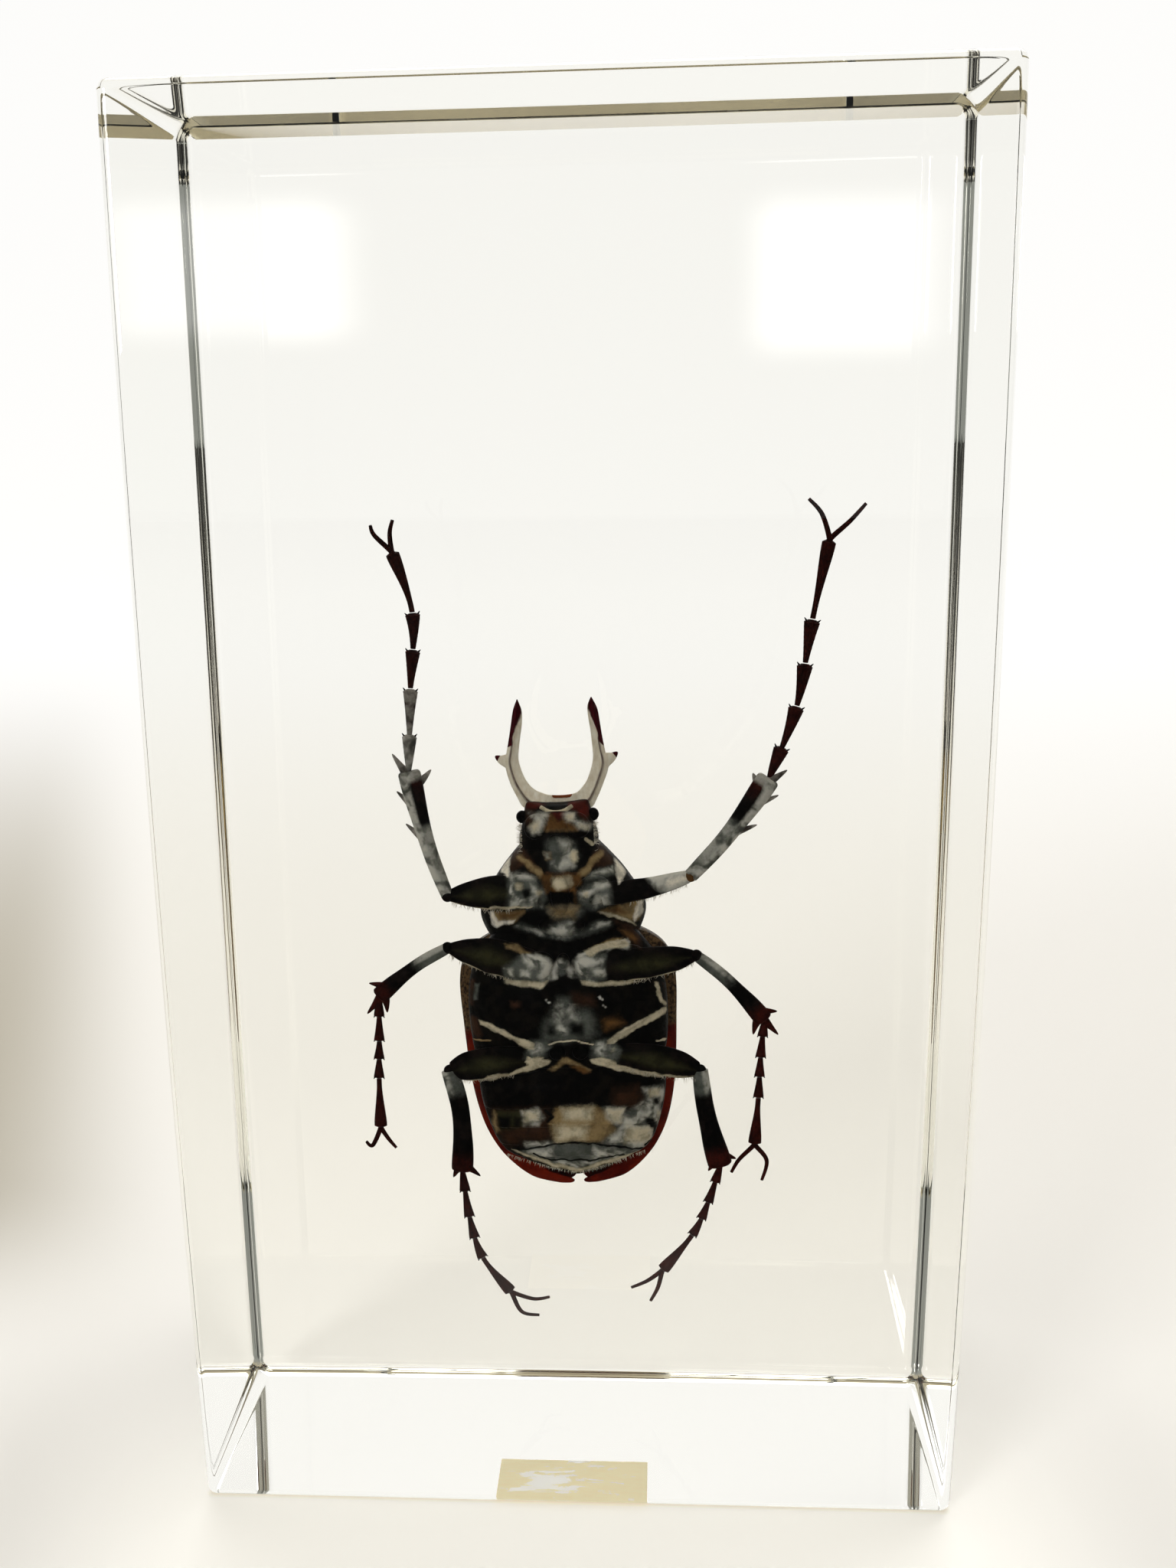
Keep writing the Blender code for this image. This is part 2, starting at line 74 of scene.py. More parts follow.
# Studio: colours of the room round the block, the floor and how it sweeps up, two bright cards behind the
# camera, and the lamps
ROOM_GREY = (0.26, 0.27, 0.26)
ROOM_TOP = (0.50, 0.44, 0.33)
ROOM_BACK = (0.97, 0.965, 0.955)
# The floor far in front of the block is painted this dark: painted shade.
SHADED_FLOOR_FRONT = (0.012, 0.012, 0.011)
FLOOR_Z = -0.06
SWEEP = 500.0
WINDOW_Y = -620.0
WINDOW_CARDS = (
    ("left", (-186.0, 129.0), (76.0, 42.0), 3.0),
    ("right", (86.0, 124.0), (58.0, 46.0), 2.8),
)
OVERHEAD = 2.6
FILL = 13.5

# The cuticle lies in resin of nearly its own index, so that its gloss is weak
RESIN_INDEX = 1.55
CUTICLE_IN_RESIN = 1.06

# Meshes: edges turn sharp from this angle, and a body ring lies between round (2) and square
SHARP_FROM_DEG = 50.0
BODY_POWER = 2.35

# Insect's own frame in the block
BODY_CENTRE = (-0.35, 0.0, 31.2)
BODY_LEAN_DEG = 2.6

# Body forms: distance towards the head, half width, and depth of the underside, the widest line and the back
WING_CASES = (
    (-11.65, 1.7, -0.5, 0.2, 0.9),
    (-11.5, 2.5, -0.6, 0.3, 1.2),
    (-11.2, 3.3, -0.7, 0.3, 1.8),
    (-10.3, 4.35, -1.0, 0.2, 2.7),
    (-8.9, 5.4, -1.3, 0.0, 3.5),
    (-6.9, 6.25, -1.6, -0.1, 4.1),
    (-4.0, 6.8, -1.8, -0.2, 4.55),
    (0.0, 7.05, -1.9, -0.3, 4.75),
    (3.2, 7.1, -1.8, -0.2, 4.55),
    (5.0, 6.5, -1.5, 0.0, 4.0),
    (6.1, 4.9, -1.0, 0.3, 3.2),
    (6.4, 3.2, -0.6, 0.5, 2.7),
)
TIP_START = -11.05
TIP_LENGTH = 0.62
ABDOMEN = (
    (-10.55, 0.5, -1.9, -1.2, 0.3),
    (-10.1, 2.2, -2.2, -1.2, 0.4),
    (-9.3, 3.8, -2.8, -1.3, 0.5),
    (-8.7, 4.7, -3.15, -1.4, 0.5),
    (-7.8, 5.3, -3.5, -1.4, 0.5),
    (-6.3, 5.8, -3.95, -1.4, 0.5),
    (-4.9, 6.1, -4.15, -1.4, 0.5),
    (-3.6, 6.2, -4.25, -1.4, 0.5),
    (-2.2, 6.2, -4.3, -1.4, 0.5),
    (-0.6, 6.1, -4.2, -1.4, 0.5),
)
PLATE_EDGES = (-2.3, -5.15, -6.55, -7.95, -8.95)
CHEST = (
    (-2.4, 6.0, -4.0, -1.6, 0.5),
    (-1.0, 6.4, -4.35, -1.6, 1.0),
    (2.0, 6.5, -4.5, -1.6, 1.0),
    (4.2, 6.1, -4.2, -1.6, 1.0),
    (6.0, 5.0, -3.7, -1.4, 1.0),
    (7.2, 3.8, -3.2, -1.2, 1.0),
)
SHOULDER_PLATE = (
    (5.7, 4.3, -3.1, 0.0, 2.9),
    (6.4, 4.95, -3.4, -0.1, 3.6),
    (8.0, 5.3, -3.6, -0.2, 4.3),
    (10.0, 4.25, -3.5, -0.2, 4.0),
    (11.5, 3.1, -3.1, -0.1, 3.1),
    (12.5, 2.15, -2.5, 0.1, 2.2),
)
HEAD = (
    (11.0, 2.2, -2.5, -0.3, 1.9),
    (12.4, 2.55, -2.7, -0.3, 1.9),
    (13.6, 2.3, -2.4, -0.2, 1.6),
    (14.2, 2.15, -1.8, 0.0, 1.1),
    (14.65, 1.95, -0.9, 0.1, 0.7),
    (14.75, 1.6, -0.3, 0.1, 0.5),
)

# Legs: the thigh's root, middle and end, and its half widths along it; the shin's half widths at its ends and
# its bow; how red the foot is; how far the knee's grey reaches; the ankle; the foot's way to its last joint;
# the claws; and the shin's teeth, as how far along it they stand and their tips
LEGS = {
    "fore_left": {
        "thigh": ((-2.2, -3.9, 40.8), (-5.3, -4.1, 40.7), (-7.9, -4.1, 40.5)),
        "thigh_half": (1.0, 1.15, 1.1, 0.76, 0.34),
        "shin_half": (0.40, 0.70),
        "shin_bow": 0.22,
        "foot_red": 0.44,
        "ankle": (-10.1, -3.9, 48.6),
        "foot": ((-10.1, -3.9, 49.2), (-9.8, -3.9, 53.8), (-9.5, -4.0, 58.4), (-10.6, -4.2, 62.2)),
        "claws": (((-11.6, -4.3, 63.2), (-11.8, -4.5, 63.8)), ((-10.7, -4.0, 63.3), (-10.5, -4.0, 64.1))),
        "teeth": ((0.45, (-10.4, -3.9, 45.2)), (0.72, (-10.9, -3.9, 47.3)), (1.0, (-11.1, -3.9, 49.7)),
                  (0.94, (-8.7, -3.9, 48.7))),
    },
    "fore_right": {
        "thigh": ((1.9, -3.9, 40.6), (4.8, -4.1, 41.1), (7.5, -4.1, 41.9)),
        "thigh_half": (0.75, 0.78, 0.68, 0.56, 0.40),
        "shin_half": (0.46, 0.72),
        "shin_bow": 0.22,
        "foot_red": 0.46,
        "ankle": (12.3, -3.9, 48.2),
        "foot": ((12.6, -3.9, 48.8), (13.9, -3.9, 52.7), (14.7, -4.0, 57.9), (15.6, -4.2, 62.8)),
        "claws": (((15.1, -4.3, 64.3), (14.3, -4.4, 65.2)), ((16.8, -4.1, 63.9), (17.7, -4.0, 64.9))),
        "teeth": ((0.45, (11.6, -3.9, 45.2)), (0.75, (12.9, -3.9, 47.1)), (1.0, (13.4, -3.9, 48.7)),
                  (0.97, (11.3, -3.9, 48.5))),
    },
    "mid_left": {
        "thigh": ((-2.3, -3.9, 35.7), (-5.2, -4.1, 36.5), (-8.0, -4.0, 37.0)),
        "thigh_half": (1.0, 1.15, 1.2, 0.84, 0.32),
        "shin_half": (0.36, 0.56),
        "shin_bow": 0.22,
        "foot_red": 0.48,
        "knee_grey": 0.42,
        "ankle": (-12.6, -3.7, 33.6),
        "foot": ((-12.6, -3.7, 32.9), (-12.7, -3.7, 30.5), (-12.8, -3.8, 28.0), (-12.8, -4.0, 24.5)),
        "claws": (((-13.4, -4.0, 23.2), (-13.8, -4.1, 23.5)), ((-12.3, -4.1, 23.7), (-11.8, -4.2, 23.1))),
        "teeth": ((0.9, (-13.2, -3.7, 34.5)), (1.0, (-13.4, -3.7, 32.4)), (1.0, (-12.1, -3.7, 32.5))),
    },
    "mid_right": {
        "thigh": ((1.2, -3.9, 35.7), (4.6, -4.1, 36.1), (7.9, -4.0, 36.6)),
        "thigh_half": (1.0, 1.08, 1.05, 0.86, 0.36),
        "shin_half": (0.36, 0.58),
        "shin_bow": 0.22,
        "foot_red": 0.50,
        "knee_grey": 0.45,
        "ankle": (12.3, -3.7, 32.2),
        "foot": ((12.3, -3.7, 31.5), (12.1, -3.7, 29.6), (12.0, -3.8, 26.9), (11.8, -4.0, 23.6)),
        "claws": (((10.8, -4.0, 22.5), (10.3, -4.1, 21.6)), ((12.6, -4.1, 22.5), (12.3, -4.2, 21.1))),
        "teeth": ((0.75, (11.4, -3.7, 34.0)), (0.95, (13.1, -3.7, 32.8)), (1.0, (13.2, -3.7, 31.2)),
                  (1.0, (11.6, -3.7, 31.2))),
    },
    "hind_left": {
        "thigh": ((-2.3, -3.9, 29.4), (-5.4, -4.2, 29.2), (-8.1, -4.1, 28.6)),
        "thigh_half": (0.85, 1.0, 1.05, 1.0, 0.5),
        "shin_half": (0.56, 0.70),
        "shin_bow": -0.36,
        "foot_red": 0.46,
        "knee_grey": 0.25,
        "ankle": (-7.5, -3.8, 21.4),
        "foot": ((-7.4, -3.8, 20.7), (-7.1, -3.8, 18.0), (-6.3, -3.9, 15.1), (-4.4, -4.1, 12.6)),
        "claws": (((-2.9, -4.1, 12.1), (-1.8, -4.2, 12.3)), ((-3.7, -4.3, 11.2), (-2.5, -4.4, 11.0))),
        "teeth": ((1.0, (-6.3, -3.8, 21.0)), (1.0, (-8.1, -3.8, 20.9))),
    },
    "hind_right": {
        "thigh": ((1.3, -3.9, 29.9), (5.0, -4.2, 29.6), (8.2, -4.1, 28.8)),
        "thigh_half": (0.5, 0.78, 1.0, 0.95, 0.46),
        "shin_half": (0.50, 0.78),
        "shin_bow": -0.18,
        "foot_red": 0.54,
        "knee_grey": 0.25,
        "ankle": (9.6, -3.8, 22.0),
        "foot": ((9.4, -3.8, 21.3), (8.8, -3.8, 19.3), (7.8, -3.9, 17.0), (5.8, -4.1, 14.4)),
        "claws": (((4.8, -4.1, 13.6), (3.7, -4.2, 13.1)), ((5.5, -4.3, 13.2), (5.0, -4.4, 12.2))),
        "teeth": ((0.95, (10.6, -3.8, 22.5)), (1.0, (8.8, -3.8, 21.6))),
    },
}
FOOT_JOINTS = (0.0, 0.17, 0.34, 0.51, 0.68, 1.0)

# Horns as one forked plate from the left tip round the bow to the right tip: outer edge, inner edge, depth
HORN_PLATE = (
    ((-3.55, 52.56), (-3.50, 52.58), 0.8), ((-3.80, 51.86), (-3.25, 51.86), 0.9),
    ((-3.94, 51.03), (-3.24, 51.03), 1.0), ((-4.10, 50.06), (-3.38, 50.05), 1.1),
    ((-4.27, 49.14), (-3.50, 49.07), 1.15), ((-4.40, 48.37), (-3.47, 48.37), 1.1),
    ((-4.13, 47.24), (-3.09, 47.38), 0.9), ((-3.66, 46.25), (-2.55, 46.75), 0.7),
    ((-3.19, 45.54), (-1.86, 46.46), 0.5), ((-2.16, 45.22), (-1.38, 46.39), 0.4),
    ((-1.05, 45.14), (-0.69, 46.39), 0.4), ((0.06, 45.23), (-0.06, 46.47), 0.4),
    ((1.14, 45.54), (0.35, 46.65), 0.5), ((1.52, 46.11), (0.84, 47.25), 0.7),
    ((1.94, 47.11), (1.15, 48.09), 0.9), ((2.28, 48.23), (1.27, 48.80), 1.1),
    ((2.05, 49.22), (1.21, 49.64), 1.15), ((1.87, 50.19), (1.11, 50.61), 1.1),
    ((1.72, 51.17), (0.98, 51.44), 1.0), ((1.57, 52.00), (0.95, 52.14), 0.9),
    ((1.22, 52.72), (1.16, 52.72), 0.8),
)
HORN_MARKS = (
    ("line", 0.36, 0.92, (0.09, 0.05, 0.045)),
    ("maroon", 0.44, 0.58, (0.045, 0.001, 0.004)),
    ("bow", 0.42, 0.60, (0.20, 0.05, 0.015)),
)
HORN_TEETH = (((-4.15, 1.1, 48.5), (-5.02, 1.2, 48.82)), ((2.05, 1.1, 48.6), (2.85, 1.2, 49.1)))

# Seams of the breast's sides, raised
SIDE_SEAMS = (
    ((-6.0, 32.0), (-3.6, 30.8), (-2.7, 30.3)),
    ((6.0, 33.0), (2.9, 31.3), (2.3, 30.8)),
)

# Markings of the underside, seen from the front at the depth of the hips. A patch is its tone, how softly it
# ends and its outline. A stroke is its tone, half width and places. MARK_BLUR softens every patch's border,
# MARK_DEPTH is how deep the marks were measured, and a mark shifts by its further depth over SIGHT_REACH.
MARK_BLUR = 2.0
MARK_DEPTH = -4.2
SIGHT_REACH = 184.0
# Silver patches are painted reflections, pale ones mostly painted glints, and some cream ones painted
# highlights.
PATCHES = (
    ("red", 0.16, (-0.15, 46.75), (0.95, 46.7), (1.25, 46.0), (0.95, 45.6), (0.25, 46.05), (-0.3, 45.95)),
    ("red", 0.16, (-2.85, 46.65), (-2.0, 46.7), (-1.6, 46.35), (-2.45, 46.2), (-2.85, 46.0)),
    ("red", 0.12, (-1.2, 45.95), (-0.35, 45.95), (-0.8, 45.3)),
    ("brown", 0.16, (-2.85, 46.2), (-2.35, 46.1), (-2.2, 45.55), (-2.7, 44.85), (-2.9, 45.4)),
    ("brown", 0.16, (0.35, 45.95), (1.2, 45.95), (1.15, 45.2), (0.6, 45.35)),
    ("amber", 0.16, (-1.55, 45.75), (-1.15, 45.85), (-0.8, 45.45), (-0.45, 45.8), (-0.2, 45.45),
     (0.25, 45.1), (0.6, 44.85), (-1.6, 44.75), (-1.8, 45.0)),
    ("tan", 0.22, (-1.55, 45.2), (0.15, 45.1), (0.35, 44.85), (-1.6, 44.8)),
    ("silver", 0.20, (-2.65, 45.9), (-2.25, 45.75), (-1.8, 45.9), (-1.45, 45.85), (-1.5, 45.5),
     (-1.7, 45.2), (-1.95, 44.6), (-2.45, 44.5), (-2.65, 44.95), (-2.25, 45.3), (-2.3, 45.55)),
    ("silver", 0.20, (-0.5, 45.8), (-0.15, 46.05), (0.3, 45.9), (0.35, 45.55), (0.9, 45.3), (1.2, 45.1),
     (1.1, 44.85), (0.6, 44.9), (0.15, 45.3), (-0.35, 45.4)),
    ("cream", 0.22, (-2.6, 45.1), (-2.1, 45.4), (-2.05, 44.85), (-2.45, 44.65)),
    ("cream", 0.22, (-0.35, 45.75), (0.2, 45.85), (0.2, 45.45), (-0.25, 45.5)),
    ("cream", 0.18, (0.5, 45.25), (1.1, 45.1), (1.05, 44.85), (0.6, 45.0)),
    ("grey", 0.25, (-1.4, 44.05), (-0.9, 44.25), (-0.2, 44.2), (0.25, 43.75), (0.4, 43.2), (0.15, 42.5),
     (-0.55, 42.15), (-1.2, 42.3), (-1.4, 42.85), (-1.6, 43.5)),
    ("silver", 0.28, (-0.7, 44.1), (-0.2, 44.1), (0.15, 43.6), (0.05, 42.5), (-0.9, 42.2), (-1.15, 42.65),
     (-0.3, 43.05)),
    ("cream", 0.16, (0.05, 43.55), (0.4, 43.4), (0.4, 42.85), (0.15, 42.65), (-0.05, 43.05)),
    ("tan", 0.14, (-1.8, 43.35), (-1.35, 43.4), (-1.25, 42.9), (-1.65, 42.9)),
    ("silver", 0.12, (-1.8, 43.35), (-1.4, 43.35), (-1.35, 43.0), (-1.65, 43.0)),
    ("silver", 0.14, (-0.7, 44.0), (-0.4, 44.0), (-0.4, 43.7), (-0.7, 43.7)),
    ("brown", 0.14, (-3.65, 43.55), (-3.3, 43.8), (-2.95, 43.55), (-2.55, 43.05), (-2.05, 42.1),
     (-2.5, 41.95), (-3.0, 42.45), (-3.9, 42.0), (-3.9, 42.65)),
    ("brown", 0.14, (1.8, 43.95), (2.3, 43.85), (2.6, 43.25), (2.65, 42.5), (1.9, 42.4), (1.2, 42.4),
     (1.0, 42.7)),
    ("pale", 0.10, (-4.4, 42.85), (-3.8, 43.35), (-3.9, 42.45), (-4.0, 41.75), (-4.5, 42.0)),
    ("pale", 0.10, (2.6, 43.6), (3.3, 43.05), (3.7, 42.3), (3.3, 41.75), (2.95, 41.3), (2.8, 41.95)),
    ("amber", 0.14, (-1.85, 41.95), (0.6, 42.0), (0.65, 41.3), (0.3, 41.2), (0.2, 40.0), (0.05, 40.65),
     (-1.65, 40.65), (-1.85, 41.3)),
    ("cream", 0.22, (-1.2, 41.75), (-0.05, 41.8), (0.05, 41.35), (-0.25, 41.05), (-0.85, 40.95),
     (-1.2, 41.2)),
    ("black", 0.14, (-1.55, 40.6), (-1.35, 40.85), (0.1, 40.85), (0.25, 40.5), (-0.05, 40.05),
     (-1.2, 40.0)),
    ("grey", 0.20, (-1.55, 39.9), (0.45, 39.9), (0.8, 39.55), (0.45, 39.1), (-1.3, 39.05), (-1.5, 39.55)),
    ("tan", 0.35, (-1.4, 39.8), (0.4, 39.85), (0.2, 39.15), (-1.2, 39.1)),
    ("grey", 0.22, (-4.05, 41.9), (-2.25, 41.75), (-1.65, 41.0), (-1.6, 40.3), (-1.9, 39.75), (-4.05, 39.7),
     (-3.95, 40.8)),
    ("silver", 0.18, (-3.95, 42.0), (-2.95, 42.0), (-2.25, 41.65), (-3.05, 41.65), (-3.85, 41.65)),
    ("cream", 0.16, (-3.55, 41.4), (-3.1, 41.4), (-3.05, 41.05), (-3.4, 40.9)),
    ("silver", 0.16, (-2.6, 41.3), (-2.1, 41.05), (-1.9, 40.75), (-2.2, 40.35), (-2.55, 40.3),
     (-2.35, 40.65), (-2.6, 40.9)),
    ("cream", 0.13, (-2.3, 40.9), (-1.9, 40.9), (-2.0, 40.6), (-2.25, 40.6)),
    ("silver", 0.16, (-3.9, 40.25), (-3.25, 40.15), (-2.55, 40.3), (-1.75, 40.35), (-1.9, 39.8),
     (-3.25, 39.85), (-3.95, 39.8)),
    ("black", 0.14, (-3.1, 41.05), (-2.65, 40.95), (-2.6, 40.55), (-2.95, 40.4), (-3.1, 40.65)),
    ("grey", 0.22, (0.45, 40.65), (1.0, 41.3), (2.25, 41.6), (2.5, 40.65), (2.5, 39.95), (1.5, 39.7),
     (0.55, 39.85)),
    ("silver", 0.16, (0.5, 40.75), (0.9, 41.0), (1.35, 41.3), (2.25, 41.5), (2.35, 41.2), (1.55, 40.95),
     (1.15, 40.55), (0.9, 40.3), (0.55, 40.4)),
    ("cream", 0.14, (0.7, 40.85), (1.0, 40.9), (1.05, 40.5), (0.75, 40.45)),
    ("silver", 0.20, (1.5, 40.55), (2.2, 40.6), (2.3, 40.05), (1.5, 39.8), (1.35, 40.15)),
    ("black", 0.12, (1.15, 40.55), (1.45, 40.75), (1.25, 40.3), (1.3, 39.95), (1.1, 40.1)),
    ("grey", 0.14, (1.15, 42.05), (1.8, 42.3), (2.6, 42.5), (2.8, 41.95), (1.9, 41.7), (0.9, 41.6)),
    ("silver", 0.12, (1.35, 42.1), (2.6, 42.4), (2.75, 42.15), (1.9, 42.0), (1.3, 41.85)),
    ("tan", 0.14, (-5.1, 39.35), (-3.0, 39.55), (-3.1, 39.3), (-3.6, 38.8), (-4.7, 38.45), (-5.05, 38.8)),
    ("amber", 0.20, (-4.75, 39.3), (-3.1, 39.5), (-3.45, 39.1), (-4.6, 38.9)),
    ("pale", 0.10, (-5.25, 39.4), (-5.05, 39.45), (-4.75, 38.75), (-3.6, 38.95), (-3.7, 38.75),
     (-4.8, 38.4), (-5.15, 38.55)),
    ("tan", 0.14, (1.7, 39.5), (4.35, 40.3), (4.45, 39.85), (4.35, 38.95), (4.0, 38.85), (2.75, 39.25)),
    ("amber", 0.20, (1.9, 39.5), (2.75, 39.85), (3.65, 39.4), (2.75, 39.35)),
    ("pale", 0.12, (4.15, 40.05), (4.45, 40.3), (4.5, 39.4), (4.0, 38.8), (3.9, 39.1)),
    ("cream", 0.10, (1.7, 39.5), (2.4, 39.45), (3.0, 39.2), (3.7, 38.95), (4.15, 38.55), (3.3, 38.9),
     (2.6, 39.15), (1.8, 39.35)),
    ("grey", 0.22, (-3.6, 38.5), (-3.1, 38.55), (-2.3, 38.3), (-1.3, 38.25), (-0.95, 38.8), (-0.15, 38.8),
     (0.2, 38.15), (1.0, 38.3), (1.35, 38.7), (2.3, 38.85), (2.5, 38.6), (0.8, 38.0), (-0.25, 37.65),
     (-1.4, 37.8), (-2.55, 38.1)),
    ("silver", 0.25, (-1.25, 38.6), (0.05, 38.75), (0.1, 38.0), (-0.95, 37.8), (-1.35, 38.05)),
    ("silver", 0.14, (-3.5, 38.5), (-2.65, 38.3), (-1.75, 38.2), (-1.75, 37.95), (-2.65, 38.1)),
    ("silver", 0.14, (1.15, 38.35), (1.8, 38.75), (2.4, 38.8), (2.4, 38.65), (1.5, 38.4)),
    ("brown", 0.20, (2.6, 39.0), (3.65, 38.65), (4.45, 38.3), (4.45, 37.05), (3.65, 37.35), (3.1, 38.25)),
    ("amber", 0.16, (2.95, 38.35), (3.55, 38.2), (4.15, 37.65), (4.0, 37.45), (3.3, 37.9)),
    ("tan", 0.12, (-4.3, 37.35), (-3.45, 37.3), (-3.05, 37.0), (-3.15, 36.8), (-3.9, 37.05)),
    ("grey", 0.16, (-4.5, 35.75), (-3.15, 36.65), (-1.65, 36.5), (-1.3, 35.85), (-1.45, 35.05),
     (-2.05, 34.4), (-4.3, 34.7)),
    ("silver", 0.16, (-3.15, 36.65), (-2.25, 36.6), (-1.6, 36.4), (-1.25, 35.95), (-1.4, 35.15),
     (-1.9, 34.65), (-2.2, 35.2), (-2.05, 35.75), (-2.75, 35.85), (-3.2, 36.15)),
    ("silver", 0.12, (-4.4, 35.7), (-3.85, 35.75), (-3.8, 35.2), (-4.3, 35.1)),
    ("silver", 0.12, (-3.35, 35.6), (-2.65, 35.5), (-2.75, 35.05), (-3.35, 35.1)),
    ("cream", 0.10, (-4.4, 34.95), (-3.35, 34.85), (-2.0, 34.75), (-1.6, 34.85), (-2.0, 34.35),
     (-3.2, 34.45), (-4.35, 34.65)),
    ("grey", 0.16, (0.1, 36.2), (0.75, 36.65), (2.1, 36.7), (2.1, 35.1), (1.35, 34.65), (0.5, 35.0)),
    ("silver", 0.16, (0.1, 36.2), (0.6, 36.65), (1.35, 36.45), (1.95, 36.4), (1.95, 36.05), (1.25, 36.0),
     (0.85, 35.65), (1.0, 35.05), (1.35, 34.8), (0.65, 34.9), (0.1, 35.65)),
    ("silver", 0.12, (1.35, 35.8), (2.1, 35.65), (2.05, 35.25), (1.45, 35.25)),
    ("cream", 0.10, (0.5, 34.95), (1.35, 34.8), (3.15, 34.9), (4.4, 34.85), (3.15, 34.6), (1.35, 34.5),
     (0.65, 34.6)),
    ("silver", 0.14, (1.2, 36.5), (1.95, 37.2), (3.5, 37.7), (3.65, 37.1), (3.2, 37.05), (2.75, 37.25),
     (1.95, 36.85)),
    ("tan", 0.10, (-4.35, 37.35), (-3.3, 37.1), (-2.65, 36.75), (-2.85, 36.55), (-3.6, 36.9), (-4.3, 37.1)),
    ("silver", 0.12, (-1.4, 34.85), (-1.25, 35.8), (-0.9, 36.25), (-0.65, 36.35), (-0.35, 36.2),
     (-0.1, 35.8), (0.05, 35.05), (-0.3, 35.2), (-0.45, 35.85), (-0.7, 36.0), (-0.9, 35.8), (-1.05, 35.05)),
    ("grey", 0.12, (-0.9, 35.95), (-0.45, 35.95), (-0.4, 35.3), (-0.9, 35.25)),
    ("brown", 0.45, (2.55, 27.45), (4.15, 27.65), (4.75, 26.15), (3.55, 26.0), (2.55, 26.2)),
    ("silver", 0.22, (4.5, 27.45), (6.05, 27.65), (6.4, 27.1), (5.65, 26.15), (6.25, 25.85), (5.95, 24.75),
     (5.45, 24.4), (4.85, 25.3), (3.7, 25.45), (3.35, 25.7), (4.15, 26.2), (4.8, 26.7)),
    ("cream", 0.18, (4.85, 27.35), (5.6, 27.45), (5.65, 26.95), (5.0, 26.85)),
    ("tan", 0.10, (-4.4, 37.4), (-3.3, 37.1), (-2.8, 36.7), (-3.0, 36.6), (-4.0, 37.0)),
    ("cream", 0.10, (0.8, 36.9), (2.0, 37.4), (3.3, 37.7), (3.6, 37.3), (3.3, 37.1), (2.2, 37.1),
     (1.1, 36.5)),
    ("tan", 0.12, (1.3, 37.1), (2.3, 37.6), (3.2, 37.8), (3.0, 37.6), (1.8, 37.3)),
    ("brown", 0.35, (-0.1, 34.0), (1.2, 33.9), (1.4, 33.3), (0.2, 33.1)),
    ("amber", 0.32, (1.9, 32.2), (2.9, 32.4), (3.3, 32.0), (2.1, 31.5)),
    ("brown", 0.17, (-4.0, 33.4), (-3.4, 33.4), (-3.4, 33.1), (-4.0, 33.0)),
    ("grey", 0.40, (-1.1, 32.95), (1.05, 32.75), (1.5, 31.35), (0.7, 30.9), (-1.6, 30.8), (-1.95, 31.4)),
    ("silver", 0.18, (-1.05, 31.9), (-0.45, 31.85), (-0.45, 31.3), (-1.05, 31.3)),
    ("silver", 0.45, (-0.85, 33.05), (-0.05, 32.95), (0.1, 32.15), (-0.95, 32.15)),
    ("black", 0.28, (-1.65, 31.8), (-1.15, 31.9), (-1.15, 31.15), (-1.6, 31.15)),
    ("black", 0.28, (-0.2, 32.0), (0.65, 32.0), (0.7, 31.2), (-0.15, 31.2)),
    ("grey", 0.30, (-0.9, 33.7), (-0.3, 33.7), (-0.1, 32.8), (0.2, 31.9), (-1.2, 31.8), (-0.9, 32.8)),
    ("grey", 0.28, (-2.0, 31.3), (-1.2, 31.6), (-0.9, 31.1), (0.2, 31.1), (0.7, 31.5), (1.2, 30.9),
     (-2.0, 30.7)),
    ("grey", 0.17, (-2.8, 30.7), (-1.7, 30.9), (-1.4, 30.1), (-2.0, 29.4), (-3.2, 29.5), (-3.0, 30.1)),
    ("grey", 0.17, (1.2, 30.7), (2.4, 30.9), (3.1, 30.1), (2.8, 29.3), (1.2, 29.5), (1.1, 30.2)),
    ("silver", 0.15, (-2.8, 30.6), (-2.1, 30.6), (-2.0, 29.9), (-2.8, 29.6)),
    ("silver", 0.15, (1.5, 30.6), (2.3, 30.6), (2.4, 29.6), (1.6, 29.8)),
    ("cream", 0.08, (-6.1, 32.1), (-5.4, 31.9), (-3.5, 30.9), (-2.5, 30.6), (-2.8, 29.4), (-3.1, 29.4),
     (-3.0, 30.1), (-3.8, 30.7), (-5.4, 31.5), (-6.0, 31.8)),
    ("cream", 0.08, (6.0, 33.1), (6.2, 32.8), (4.5, 31.8), (2.9, 30.9), (2.6, 30.6), (2.5, 30.0),
     (2.2, 30.2), (2.2, 30.8), (2.8, 31.3), (4.4, 32.3)),
    ("cream", 0.08, (5.2, 34.8), (5.5, 34.8), (5.8, 33.6), (6.4, 33.3), (6.3, 33.0), (5.8, 33.2),
     (5.4, 33.9)),
    ("grey", 0.08, (-6.3, 34.6), (-6.0, 34.6), (-6.2, 33.5), (-6.4, 33.5)),
    ("brown", 0.15, (-6.9, 35.0), (-6.3, 34.9), (-6.5, 33.1), (-6.9, 33.1)),
    ("brown", 0.15, (-6.8, 32.5), (-6.2, 32.2), (-5.9, 31.0), (-6.2, 30.8), (-6.7, 31.2)),
    ("brown", 0.15, (5.8, 34.7), (6.4, 34.8), (6.5, 33.6), (6.1, 33.4)),
    ("brown", 0.15, (6.1, 32.9), (6.5, 33.0), (6.5, 31.4), (6.2, 31.6)),
    ("cream", 0.08, (-6.1, 27.8), (-5.6, 28.3), (-4.1, 28.5), (-2.9, 29.1), (-3.2, 29.3), (-2.5, 29.6),
     (-1.4, 29.4), (-1.6, 29.1), (-2.8, 28.7), (-4.1, 28.3), (-5.5, 27.9)),
    ("cream", 0.08, (1.0, 29.5), (2.0, 29.7), (2.5, 29.5), (2.9, 29.1), (4.6, 28.7), (6.6, 28.4),
